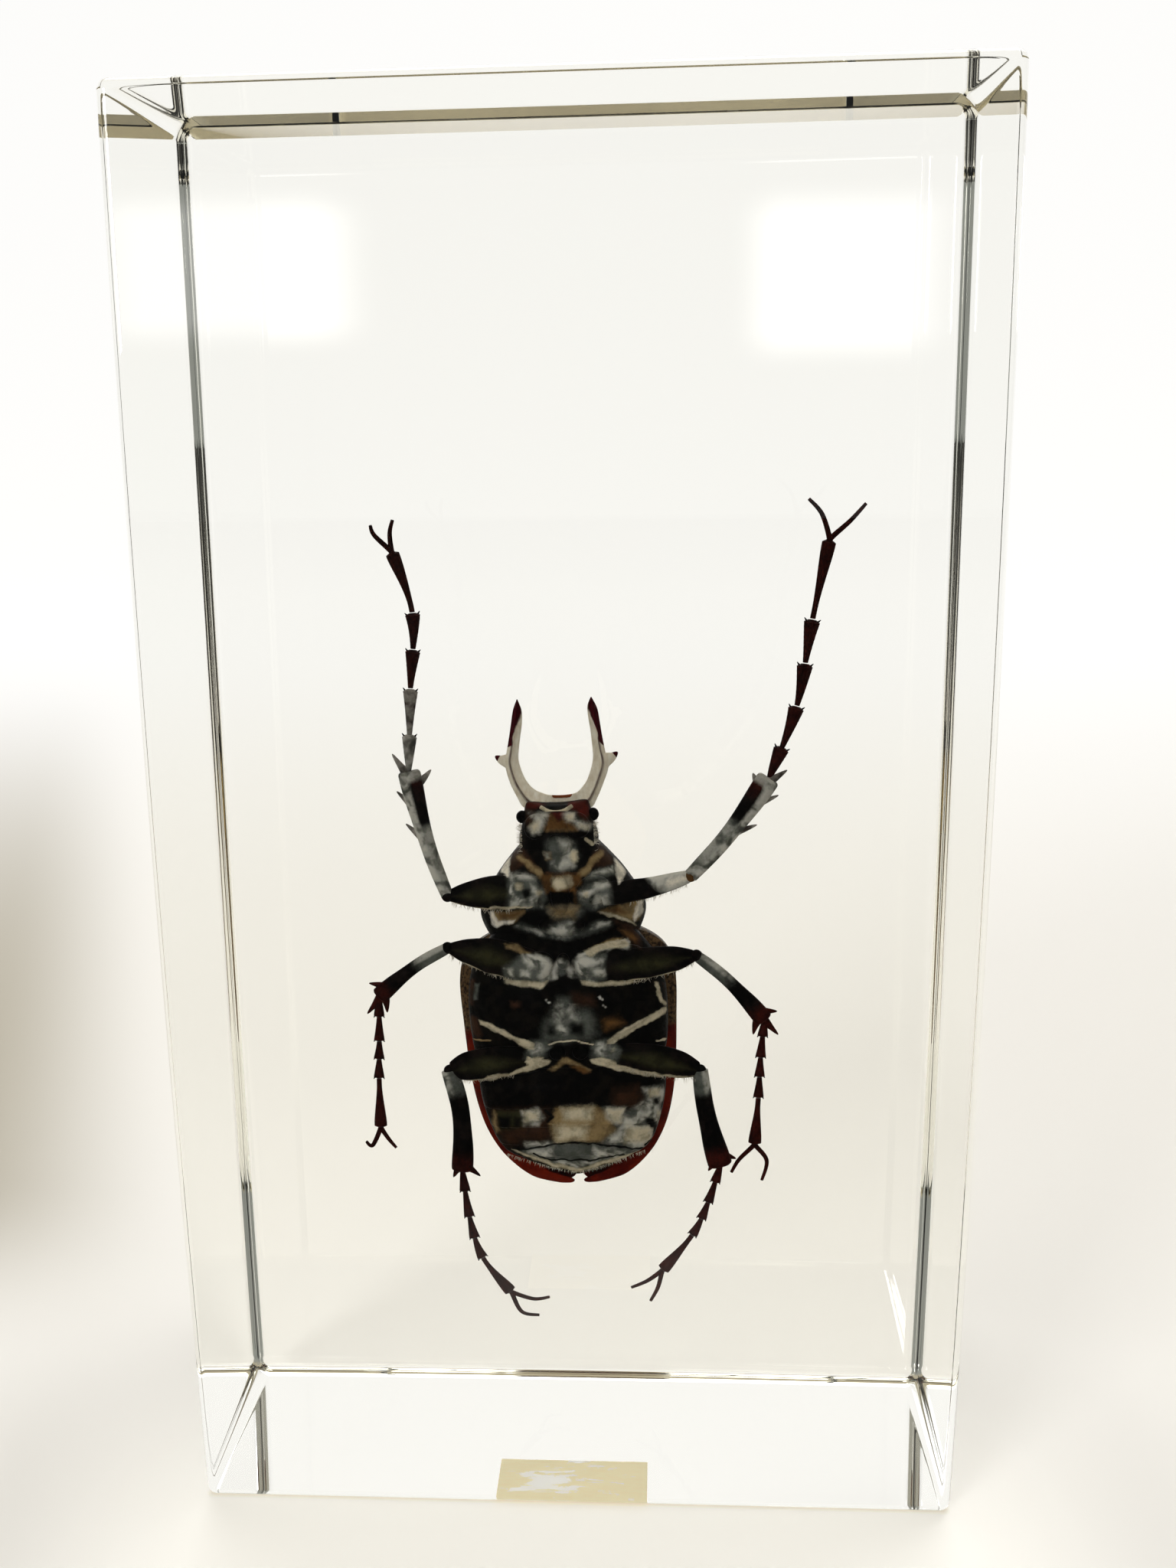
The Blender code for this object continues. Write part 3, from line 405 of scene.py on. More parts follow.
     (7.8, 28.4), (6.6, 28.2), (4.9, 28.3), (2.9, 28.7), (1.2, 29.2)),
    ("tan", 0.10, (-1.7, 28.7), (-1.1, 29.1), (-0.7, 29.6), (-0.3, 29.6), (0.1, 29.3), (1.2, 28.7),
     (0.8, 28.6), (-0.1, 29.1), (-0.6, 29.2), (-1.2, 28.7)),
    ("amber", 0.10, (-0.3, 29.0), (0.5, 29.0), (1.2, 28.6), (0.7, 28.5)),
    ("black", 0.10, (-1.8, 30.0), (-1.2, 30.5), (-0.4, 30.4), (-0.5, 30.0), (-1.2, 29.2), (-1.5, 29.3)),
    ("black", 0.10, (-0.2, 30.0), (-0.1, 30.5), (0.8, 30.5), (1.2, 30.0), (0.7, 29.5), (-0.1, 29.6)),
    ("brown", 0.35, (-5.5, 25.85), (-1.7, 26.05), (-1.55, 23.6), (-3.2, 23.55), (-4.45, 23.25),
     (-5.25, 24.35)),
    ("tan", 0.14, (-5.35, 25.75), (-5.15, 25.5), (-5.0, 24.35), (-5.25, 24.05), (-5.45, 25.0)),
    ("olive", 0.20, (-5.2, 25.75), (-3.35, 25.9), (-3.3, 24.65), (-5.1, 24.3)),
    ("black", 0.24, (-5.05, 25.3), (-4.15, 25.4), (-4.2, 24.6), (-4.95, 24.5)),
    ("black", 0.22, (-3.95, 25.35), (-3.5, 25.25), (-3.6, 24.6), (-3.95, 24.7)),
    ("silver", 0.18, (-3.5, 25.75), (-2.35, 26.0), (-1.95, 25.35), (-2.35, 24.8), (-3.3, 24.8)),
    ("cream", 0.24, (-3.35, 25.75), (-2.4, 25.8), (-2.3, 25.25), (-3.25, 24.95)),
    ("tan", 0.20, (-1.3, 26.0), (1.25, 26.2), (2.55, 25.8), (2.7, 24.45), (1.8, 23.65), (-1.3, 23.6),
     (-1.65, 24.65)),
    ("cream", 0.38, (-0.8, 26.0), (1.25, 26.15), (1.1, 25.25), (-0.65, 25.2)),
    ("cream", 0.45, (-1.25, 24.7), (0.8, 24.8), (0.65, 23.9), (-1.15, 23.7)),
    ("olive", 0.22, (1.1, 25.95), (2.1, 26.05), (2.55, 25.2), (1.8, 24.95), (1.25, 25.25)),
    ("olive", 0.25, (1.65, 24.75), (3.0, 24.7), (2.7, 23.9), (1.8, 23.7)),
    ("silver", 0.20, (1.9, 26.05), (3.35, 26.1), (3.2, 25.05), (2.7, 24.8), (2.2, 25.35)),
    ("cream", 0.24, (2.05, 25.95), (3.25, 26.05), (3.05, 25.05), (2.55, 25.05)),
    ("silver", 0.26, (3.25, 25.5), (4.6, 25.65), (5.3, 24.65), (5.1, 23.7), (4.45, 23.15), (2.55, 23.3),
     (1.8, 23.65), (2.75, 24.3)),
    ("cream", 0.30, (3.4, 24.7), (5.1, 24.75), (4.95, 23.7), (3.25, 23.6)),
    ("cream", 0.18, (5.45, 25.85), (6.05, 25.95), (5.8, 25.0), (5.45, 25.0)),
    ("black", 0.20, (5.05, 26.85), (5.65, 26.85), (5.6, 26.3), (5.25, 26.3)),
    ("black", 0.14, (4.6, 25.45), (5.2, 25.3), (5.4, 24.65), (5.0, 24.65), (4.75, 24.95)),
    ("grey", 0.14, (-3.75, 22.8), (-2.75, 23.25), (-1.3, 23.6), (1.2, 23.55), (3.25, 23.25), (4.6, 23.15),
     (2.7, 22.35), (0.6, 21.95), (-1.45, 22.0)),
    ("silver", 0.25, (-3.2, 22.9), (-1.45, 23.2), (-1.45, 22.35), (-2.3, 22.4)),
    ("silver", 0.25, (1.2, 23.2), (3.55, 23.15), (2.7, 22.5), (1.35, 22.3)),
    ("silver", 0.14, (-1.75, 22.15), (1.65, 22.25), (0.15, 21.7)),
    ("silver", 0.14, (-3.35, 23.55), (-1.7, 23.6), (-1.65, 23.35), (-3.2, 23.2)),
    ("cream", 0.10, (-4.15, 23.0), (-3.2, 22.7), (-1.45, 22.1), (0.15, 21.7), (0.4, 21.7), (1.95, 22.25),
     (4.35, 23.0), (4.15, 22.75), (1.95, 22.0), (0.45, 21.45), (0.0, 21.45), (-1.45, 21.8), (-3.2, 22.5)),
)
# Silver strokes are painted reflections, and some cream ones painted highlights.
STROKES = (
    ("cream", 0.10, (0.95, 44.25), (1.4, 43.85)),
    ("tan", 0.22, (-3.3, 43.0), (-2.85, 42.7), (-2.4, 42.2), (-1.95, 42.0)),
    ("tan", 0.22, (1.8, 43.25), (1.35, 42.8), (0.95, 42.25), (0.5, 41.9)),
    ("black", 0.10, (-4.5, 42.8), (-5.05, 42.05)),
    ("black", 0.10, (3.35, 43.05), (4.05, 42.1)),
    ("brown", 0.08, (-1.6, 42.05), (0.5, 42.05)),
    ("cream", 0.08, (-5.2, 39.75), (-4.05, 39.75), (-2.55, 39.8)),
    ("silver", 0.10, (-3.75, 41.3), (-3.85, 40.75), (-3.4, 40.35), (-2.55, 40.3)),
    ("silver", 0.12, (-3.05, 36.65), (-2.35, 36.45), (-1.7, 36.2)),
    ("silver", 0.12, (0.45, 36.55), (1.3, 36.9), (2.3, 37.25), (3.55, 37.45)),
    ("cream", 0.07, (0.95, 36.7), (2.3, 37.15), (2.75, 37.25)),
    ("tan", 0.07, (-1.7, 24.9), (0.05, 25.0), (1.95, 25.05)),
    ("black", 0.06, (-4.1, 23.05), (-2.75, 23.1), (-1.3, 23.45), (0.35, 23.6), (2.1, 23.4), (4.6, 23.1)),
    ("black", 0.06, (-2.75, 22.7), (-1.75, 22.3), (1.2, 22.3), (3.25, 22.75)),
    ("black", 0.08, (5.35, 24.8), (5.2, 23.95), (4.65, 23.4)),
    ("black", 0.10, (-1.9, 25.9), (-1.45, 25.45), (-1.75, 25.0)),
    ("cream", 0.06, (-1.6, 30.5), (-0.9, 30.7), (-0.2, 30.8), (0.4, 30.7), (1.3, 30.5)),
    ("silver", 0.08, (-1.7, 33.6), (-1.5, 33.4)),
    ("silver", 0.08, (1.7, 33.8), (1.9, 33.6)),
    ("silver", 0.08, (2.0, 33.2), (2.2, 33.1)),
    ("tan", 0.06, (-6.7, 30.8), (-6.2, 30.7), (-5.4, 30.7)),
    ("cream", 0.07, (5.4, 30.8), (6.2, 30.9)),
)
# Tones of the insect, laid over each other in this order: the range of a point's value in which each comes
# in, and its colour. Silver is a painted reflection of air films and gloss, and fades to a shade of its own;
# pale is mostly painted glints, and cream is partly the insect's own pale marks and partly painted highlight.
TONES = {
    "brown": ((0.22, 0.84), (0.038, 0.016, 0.008)),
    "olive": ((0.15, 0.95), (0.029, 0.027, 0.011)),
    "grey": ((0.14, 0.9), (0.112, 0.12, 0.108)),
    "tan": ((0.22, 0.84), (0.28, 0.195, 0.095)),
    "amber": ((0.22, 0.84), (0.125, 0.06, 0.018)),
    "red": ((0.22, 0.84), (0.085, 0.01, 0.006)),
    "silver": ((0.16, 0.92), (0.56, 0.545, 0.49)),
    "cream": ((0.26, 0.76), (0.62, 0.545, 0.39)),
    "pale": ((0.26, 0.76), (0.9, 0.84, 0.72)),
    "black": ((0.26, 0.74), (0.0012, 0.001, 0.001)),
}
DIM_SILVER_REFLECTION = (0.085, 0.09, 0.08)


class Field:
    """A value that varies over a surface. Sums and products with it add their Math nodes."""

    def __init__(self, finish, socket):
        self.finish = finish
        self.socket = socket

    def maths(self, operation, first, second):
        return self.finish.add("ShaderNodeMath", {"operation": operation}, {0: first, 1: second})

    def __add__(self, other):
        return self.maths("ADD", self, other)

    def __radd__(self, other):
        return self.maths("ADD", other, self)

    def __sub__(self, other):
        return self.maths("SUBTRACT", self, other)

    def __rsub__(self, other):
        return self.maths("SUBTRACT", other, self)

    def __mul__(self, other):
        return self.maths("MULTIPLY", self, other)

    def __rmul__(self, other):
        return self.maths("MULTIPLY", other, self)


class Finish:
    """One material with its shader. add() makes any other node from its kind, settings and sockets."""

    def __init__(self, name, **sockets):
        self.material = bpy.data.materials.new(name)
        self.material.use_nodes = True
        self.tree = self.material.node_tree
        self.shader = self.tree.nodes["Principled BSDF"]
        self.set(self.shader, sockets)

    def set(self, node, sockets):
        for name, value in sockets.items():
            socket = node.inputs[name.replace("_", " ") if isinstance(name, str) else name]
            if isinstance(value, Field):
                self.tree.links.new(value.socket, socket)
            elif socket.type == "RGBA" and len(value) == 3:
                socket.default_value = (*value, 1.0)
            else:
                socket.default_value = value

    def add(self, kind, settings=None, sockets=None, out=0):
        node = self.tree.nodes.new(kind)
        for name, value in (settings or {}).items():
            if name == "stops":
                self.set_stops(node.color_ramp.elements, value)
            else:
                setattr(node, name, value)
        self.set(node, sockets or {})
        return Field(self, node.outputs[out])

    @staticmethod
    def set_stops(elements, stops):
        while len(elements) < len(stops):
            elements.new(1.0)
        for element, (place, colour) in zip(elements, stops):
            element.position = place
            element.color = (*colour, 1.0)

    def wear(self, **sockets):
        self.set(self.shader, sockets)

    def places(self):
        return self.add("ShaderNodeTexCoord", out="Object")

    def value(self, name):
        return self.add("ShaderNodeAttribute", {"attribute_name": name}, out="Fac")

    def cloud(self, grain_mm, detail=3.0, roughness=0.6, distortion=0.0, stretch=(1.0, 1.0, 1.0)):
        """Soft noise whose lumps are about that many millimetres across."""
        where = self.places()
        if stretch != (1.0, 1.0, 1.0):
            where = self.add("ShaderNodeVectorMath", {"operation": "MULTIPLY"}, {0: where, 1: stretch})
        return self.add("ShaderNodeTexNoise", {}, {"Vector": where, "Scale": 1.0 / (grain_mm * MM),
                                                   "Detail": detail, "Roughness": roughness,
                                                   "Distortion": distortion})

    def cells(self, grain_mm):
        return self.add("ShaderNodeTexVoronoi", {"feature": "F1"},
                        {"Vector": self.places(), "Scale": 1.0 / (grain_mm * MM)})

    def between(self, value, low, high, to_low=0.0, to_high=1.0):
        sockets = {"Value": value, "From Min": low, "From Max": high, "To Min": to_low, "To Max": to_high}
        return self.add("ShaderNodeMapRange", {"interpolation_type": "SMOOTHSTEP"}, sockets)

    def blend(self, share, under, over):
        return self.add("ShaderNodeMix", {"data_type": "RGBA"}, {"Factor": share, 6: under, 7: over}, out=2)

    def ramp(self, value, *stops):
        return self.add("ShaderNodeValToRGB", {"stops": stops}, {"Fac": value})

    def bumped(self, height, depth_mm, strength=1.0):
        sockets = {"Height": height, "Distance": depth_mm * MM, "Strength": strength}
        return self.add("ShaderNodeBump", {}, sockets)


class Shell:
    """A mesh in the making: points in block millimetres, faces, and named values for each point."""

    def __init__(self):
        self.points = []
        self.faces = []
        self.values = []
        self.count = 0

    def add(self, points, faces, **values):
        points = np.asarray(points, float).reshape(-1, 3)
        self.points.append(points)
        self.faces += [tuple(int(corner) + self.count for corner in face) for face in faces]
        self.values.append({name: np.broadcast_to(np.ravel(value).astype(float), len(points))
                            for name, value in values.items()})
        self.count += len(points)

    def grid(self, points, closed=True, **values):
        """Quads over rows of points. Closed joins the last column to the first and fills both ends."""
        rows, columns = points.shape[:2]
        index = np.arange(rows * columns).reshape(rows, columns)
        after = np.roll(index, -1, axis=1) if closed else index[:, 1:]
        here = index if closed else index[:, :-1]
        faces = np.stack((here[:-1], after[:-1], after[1:], here[1:]), axis=-1).reshape(-1, 4).tolist()
        if closed:
            faces += [tuple(index[0][::-1]), tuple(index[-1])]
        self.add(points, faces, **values)

    def every_point(self):
        return np.vstack(self.points)

    def every_value(self, name):
        return np.concatenate([chunk.get(name, np.zeros(len(points)))
                               for chunk, points in zip(self.values, self.points)])

    def mesh(self, name):
        mesh = bpy.data.meshes.new(name)
        mesh.from_pydata((self.every_point() * MM).tolist(), [], self.faces)
        return mesh

    def piece(self, name, finish):
        mesh = self.mesh(name)
        for value in sorted({key for chunk in self.values for key in chunk}):
            mesh.attributes.new(value, "FLOAT", "POINT").data.foreach_set("value", self.every_value(value))
        shape = bmesh.new()
        shape.from_mesh(mesh)
        bmesh.ops.recalc_face_normals(shape, faces=shape.faces)
        shape.to_mesh(mesh)
        shape.free()
        mesh.shade_smooth()
        mesh.set_sharp_from_angle(angle=math.radians(SHARP_FROM_DEG))
        mesh.materials.append(finish.material)
        made = placed(name, mesh)
        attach(made, "root")
        return made


def placed(name, data):
    """A new object of the scene."""
    made = bpy.data.objects.new(name, data)
    bpy.context.scene.collection.objects.link(made)
    return made


def spline(points, count):
    """That many rows on a smooth curve through the given ones."""
    points = np.array(points, float)
    ends = np.vstack((points[:1], points, points[-1:]))
    at = np.linspace(0.0, len(points) - 1 - 1e-9, count)
    index = at.astype(int)
    t = (at - index)[:, None]
    a, b, c, d = (ends[index + step] for step in range(4))
    curve = (2 * a - 5 * b + 4 * c - d) * t ** 2
    return 0.5 * (2 * b + (c - a) * t + curve + (3 * b - a - 3 * c + d) * t ** 3)


def soft_step(value, low, high):
    t = np.clip((value - low) / (high - low), 0.0, 1.0)
    return t * t * (3.0 - 2.0 * t)


def in_block(points):
    """Points of the insect's own frame, as across, depth and along, in the block."""
    lean = math.radians(BODY_LEAN_DEG)
    across, depth, along = points[..., 0], points[..., 1], points[..., 2]
    return np.stack((BODY_CENTRE[0] + across * math.cos(lean) - along * math.sin(lean),
                     BODY_CENTRE[1] + depth,
                     BODY_CENTRE[2] + across * math.sin(lean) + along * math.cos(lean)), axis=-1)


def ripple(points, grain_mm, seed):
    """Smooth random value from about -1 to 1 for each point, from a few waves in fixed directions."""
    draw = np.random.default_rng(SEED + seed)
    total = np.zeros(points.shape[:-1])
    for _ in range(9):
        way = draw.normal(size=points.shape[-1])
        way *= 2.0 * math.pi / (grain_mm * draw.uniform(0.7, 1.8)) / np.linalg.norm(way)
        total += np.sin(points @ way + draw.uniform(0.0, 6.3))
    return total / 4.5


def stroke_distance(across, up, places):
    """Distance of each point from a stroke through the places."""
    nearest = np.full(across.shape, 1e9)
    for (x0, z0), (x1, z1) in zip(places, places[1:]):
        span = (x1 - x0) ** 2 + (z1 - z0) ** 2
        t = np.clip(((across - x0) * (x1 - x0) + (up - z0) * (z1 - z0)) / span, 0, 1)
        nearest = np.minimum(nearest, np.hypot(across - x0 - t * (x1 - x0), up - z0 - t * (z1 - z0)))
    return nearest


def patch_depth(across, up, corners):
    """How far each point lies inside a patch's outline, and less than nothing outside it."""
    away = stroke_distance(across, up, corners + corners[:1])
    inside = np.zeros(across.shape, bool)
    for (x0, z0), (x1, z1) in zip(corners, corners[1:] + corners[:1]):
        level = (z0 > up) != (z1 > up)
        inside ^= level & (across < x0 + (up - z0) * (x1 - x0) / ((z1 - z0) or 1.0))
    return np.where(inside, away, -away)


def marked(points, where):
    """Values of each tone for the underside's points. Deeper points look shifted through the resin."""
    flat = points.reshape(-1, 3)
    where = np.broadcast_to(where, points.shape[:-1]).reshape(-1)
    deeper = flat[:, 1] - MARK_DEPTH
    across = flat[:, 0] - deeper * (flat[:, 0] - CAMERA_PLACE[0]) / SIGHT_REACH
    up = flat[:, 2] - deeper * (flat[:, 2] - CAMERA_PLACE[2]) / SIGHT_REACH
    plane = np.stack((across, up), axis=-1)
    across = across + 0.05 * ripple(plane, 1.3, 61) + 0.03 * ripple(plane, 0.34, 62)
    up = up + 0.05 * ripple(plane, 1.3, 63) + 0.03 * ripple(plane, 0.34, 64)
    values = {tone: np.zeros(len(flat)) for tone in TONES}
    for tone, soft, *corners in PATCHES:
        value = 0.5 + 0.5 * patch_depth(across, up, corners) / (MARK_BLUR * soft)
        values[tone] = np.maximum(values[tone], np.clip(value, 0.0, 1.0) * where)
    swell = 1.0 + 0.3 * ripple(plane, 0.8, 65)
    for tone, half_width, *places in STROKES:
        value = 1.0 - 0.5 * stroke_distance(across, up, places) / (half_width * swell)
        values[tone] = np.maximum(values[tone], np.clip(value, 0.0, 1.0) * where)
    return values


def all_round(sides):
    """Turning angles of a closed ring."""
    return np.linspace(0.0, 2.0 * math.pi, sides, endpoint=False)


def ring_shape(turns, power=BODY_POWER):
    """Across and depth of a ring between round and square, from -1 to 1."""
    across, depth = np.cos(turns), np.sin(turns)
    return np.sign(across) * np.abs(across) ** (2.0 / power), np.sign(depth) * np.abs(depth) ** (2.0 / power)


def sections(stations, rows, columns):
    """Across, depth and along of a body form, with its rings' turning angles."""
    turns = all_round(columns)
    along, half, low, middle, high = (column[:, None] for column in spline(stations, rows).T)
    wide, deep = ring_shape(turns)
    depth = middle + np.where(deep > 0, deep * (high - middle), deep * (middle - low))
    return wide * half, depth, along + 0.0 * turns, turns


def sweep(shell, path, widths, depths, sides=18, power=2.0, marks=False, tones=None, **values):
    """A limb along a path. Widths lie in the block's face plane, depths along the block's depth."""
    path = np.asarray(path, float)
    way = np.gradient(path, axis=0)
    way /= np.linalg.norm(way, axis=1)[:, None]
    side = np.cross(way, (0.0, 1.0, 0.0))
    side /= np.linalg.norm(side, axis=1)[:, None]
    facing = np.cross(side, way)
    turns = all_round(sides)
    wide, deep = ring_shape(turns, power)
    widths = np.broadcast_to(widths, len(path))[:, None, None]
    depths = np.broadcast_to(depths, len(path))[:, None, None]
    points = (path[:, None, :] + side[:, None, :] * widths * wide[None, :, None]
              + facing[:, None, :] * depths * deep[None, :, None])
    found = dict(values)
    if marks:
        found.update(marked(points, 1.0))
    if tones:
        t = np.linspace(0.0, 1.0, len(path))[:, None] + 0.0 * turns
        lower = (points[..., 2] - path[:, None, 2]) / np.maximum(widths[..., 0], 1e-6)
        beside = wide[None, :] * np.sign(side[:, :1]) + 0.0 * t
        for name, field in tones(t, lower, beside).items():
            found[name] = np.maximum(found.get(name, 0.0), field.reshape(-1))
    shell.grid(points, **found)


def lump(shell, centre, radii, turned=True, rings=18, sides=26, power=2.0, tilt_deg=0.0, **values):
    """A rounded form. Its centre and radii are across, depth and along. One on the body turns with it."""
    heights = np.linspace(-math.pi / 2, math.pi / 2, rings)[:, None]
    turns = all_round(sides)[None, :]
    round_off = np.abs(np.cos(heights)) ** (2.0 / power)
    across = round_off * np.cos(turns) * radii[0]
    depth = round_off * np.sin(turns) * radii[1]
    along = np.sign(np.sin(heights)) * np.abs(np.sin(heights)) ** (2.0 / power) * radii[2] + 0.0 * turns
    tilt = math.radians(tilt_deg)
    points = np.stack((centre[0] + across * math.cos(tilt) - along * math.sin(tilt), centre[1] + depth,
                       centre[2] + across * math.sin(tilt) + along * math.cos(tilt)), axis=-1)
    if turned:
        points = in_block(points)
        values = {**marked(points, 1.0), **values}
    shell.grid(points, **values)


def make_camera():
    turn = (Matrix.Rotation(math.radians(CAMERA_TURNS[2]), 4, "Z")
            @ Matrix.Rotation(math.radians(CAMERA_TURNS[0]), 4, "X")
            @ Matrix.Rotation(math.radians(CAMERA_TURNS[1]), 4, "Y"))
    data = bpy.data.cameras.new("camera")
    data.lens = CAMERA_LENS
    data.sensor_width = SENSOR
    data.clip_start = 0.005
    data.clip_end = 20.0
    camera = placed("camera", data)
    upright = Matrix.Rotation(math.radians(90.0), 4, "X")
    camera.matrix_world = Matrix.Translation(Vector(CAMERA_PLACE) * MM) @ turn @ upright
    bpy.context.scene.camera = camera


def make_world():
    """Bright towards the backdrop, dim to the sides and behind the camera, and warm overhead."""
    world = bpy.data.worlds.new("soft studio")
    bpy.context.scene.world = world
    world.use_nodes = True
    tree = world.node_tree
    where = tree.nodes.new("ShaderNodeTexCoord")
    split = tree.nodes.new("ShaderNodeSeparateXYZ")
    tree.links.new(where.outputs["Generated"], split.inputs[0])
    colour = ROOM_GREY
    for axis, low, high, tint in (("Z", 0.45, 0.95, ROOM_TOP), ("Y", 0.30, 0.60, ROOM_BACK)):
        shade = tree.nodes.new("ShaderNodeMapRange")
        shade.interpolation_type = "SMOOTHSTEP"
        shade.inputs["From Min"].default_value = low
        shade.inputs["From Max"].default_value = high
        tree.links.new(split.outputs[axis], shade.inputs["Value"])
        mixed = tree.nodes.new("ShaderNodeMix")
        mixed.data_type = "RGBA"
        if isinstance(colour, tuple):
            mixed.inputs[6].default_value = (*colour, 1.0)
        else:
            tree.links.new(colour, mixed.inputs[6])
        mixed.inputs[7].default_value = (*tint, 1.0)
        tree.links.new(shade.outputs[0], mixed.inputs["Factor"])
        colour = mixed.outputs[2]
    tree.links.new(colour, tree.nodes["Background"].inputs["Color"])


def make_lamp(name, place, aim, size, radiance):
    light = bpy.data.lights.new(name, "AREA")
    light.shape = "RECTANGLE"
    light.size, light.size_y = size
    light.energy = radiance * math.pi * size[0] * size[1]
    made = placed(name, light)
    made.location = place
    made.rotation_mode = "QUATERNION"
    made.rotation_quaternion = (Vector(aim) - Vector(place)).to_track_quat("-Z", "Y")


def make_stage_mesh(name, points, finish):
    shell = Shell()
    shell.grid(np.array(points), closed=False)
    mesh = shell.mesh(name)
    mesh.shade_smooth()
    mesh.materials.append(finish.material)
    placed(name, mesh)


def make_window_cards():
    """Two bright soft-edged cards behind the camera, which the front face mirrors as pale patches."""
    for name, middle, half, radiance in WINDOW_CARDS:
        finish = Finish("soft window " + name, Base_Color=(0.0, 0.0, 0.0), Specular_IOR_Level=0.0,
                        Emission_Strength=radiance)
        split = finish.add("ShaderNodeSeparateXYZ", {}, {0: finish.places()})
        edges = []
        for index, axis in enumerate("XZ"):
            place = Field(finish, split.socket.node.outputs[axis])
            off = finish.add("ShaderNodeMath", {"operation": "ABSOLUTE"}, {0: place - middle[index] * MM})
            edges.append(finish.between(off, half[index] * MM, half[index] * 0.45 * MM))
        glow = edges[0] * edges[1]
        finish.wear(Emission_Color=finish.blend(glow, (0.0, 0.0, 0.0), (1.0, 1.0, 1.0)), Alpha=glow)
        across, up = (((middle[index] - half[index]), (middle[index] + half[index])) for index in (0, 1))
        points = [[(x, WINDOW_Y, z) for x in across] for z in up]
        make_stage_mesh("window_card_" + name, points, finish)


def make_lights():
    make_world()
    make_window_cards()
    make_lamp("overhead softbox", (0.1, 0.55, 1.0), (0.0, 0.15, 0.0), (1.2, 0.9), OVERHEAD)
    make_lamp("front fill", (-0.5, -0.7, 0.25), (0.0, 0.0, 0.04), (0.3, 0.3), FILL)


def make_floor():
    """A pale floor that sweeps up to a softly lit wall far behind the block. It is dimmer far in front and at
    the back left as painted shade, and glows faintly as painted light, most just in front of the block.
    """
    finish = Finish("pale studio floor", Roughness=0.9, Specular_IOR_Level=0.2, Emission_Strength=1.0)
    split = finish.add("ShaderNodeSeparateXYZ", {}, {0: finish.places()})
    sideways, deep = (Field(finish, split.socket.node.outputs[axis]) for axis in "XY")
    tint = finish.cloud(160.0, detail=2.0)
    pale = finish.blend(tint, (0.77, 0.76, 0.735), (0.80, 0.79, 0.77))
    # Far in front the floor is painted dark and does not glow: painted shade.
    front = finish.between(deep, -0.020, -0.060)
    wall = finish.between(deep, 0.05, 0.36)
    # At the back left it is painted darker and does not glow: a painted shadow.
    left = finish.between(sideways + deep * 0.35, -0.027, -0.052) * finish.between(deep, 0.42, 0.05)
    left = left * finish.between(deep, 0.0, 0.03)
    # The floor glows faintly, and most just in front of the block: painted light.
    glow_pool = finish.between(deep, 0.015, -0.018) * finish.between(sideways * sideways, 0.0016, 0.0003)
    near = finish.blend(glow_pool, (0.05, 0.046, 0.04), (0.38, 0.37, 0.34))
    near = finish.blend(left, near, (0.0, 0.0, 0.0))
    albedo = finish.blend(left, finish.blend(front, pale, SHADED_FLOOR_FRONT), (0.45, 0.42, 0.355))
    beneath = finish.between(sideways * sideways, 0.00062, 0.00058)
    beneath = beneath * finish.between(deep * deep, 0.00017, 0.00015)
    albedo = finish.blend(beneath, albedo, (0.55, 0.47, 0.30))
    glow = finish.blend(front, near, (0.0, 0.0, 0.0))
    finish.wear(Base_Color=finish.blend(wall, albedo, (0.05, 0.05, 0.05)),
                Emission_Color=finish.blend(wall, glow, (0.93, 0.925, 0.91)))
    profile = [(y, FLOOR_Z) for y in (-900.0, -130.0, -80.0, -35.0, 0.0, 150.0, 300.0, 400.0, 500.0)]
    profile += [(500.0 + SWEEP * math.sin(turn), SWEEP + FLOOR_Z - SWEEP * math.cos(turn))
                for turn in np.linspace(0.1, 1.57, 14)]
    profile.append((1000.0, 1600.0))
    make_stage_mesh("floor", [[(x, y, z) for x in (-1500.0, 1500.0)] for y, z in profile], finish)


def edge_steps(half, radius, flat_parts):
    """Grid places along one side of the block, dense where it rounds over."""
    flat = half - radius
    round_off = [flat + radius * math.tan(turn) for turn in np.linspace(0.0, math.pi / 4, 11)[1:]]
    middle = list(np.linspace(-flat + 0.1, flat - 0.1, flat_parts))
    return np.array([-place for place in round_off[::-1]] + [-flat] + middle + [flat] + round_off)


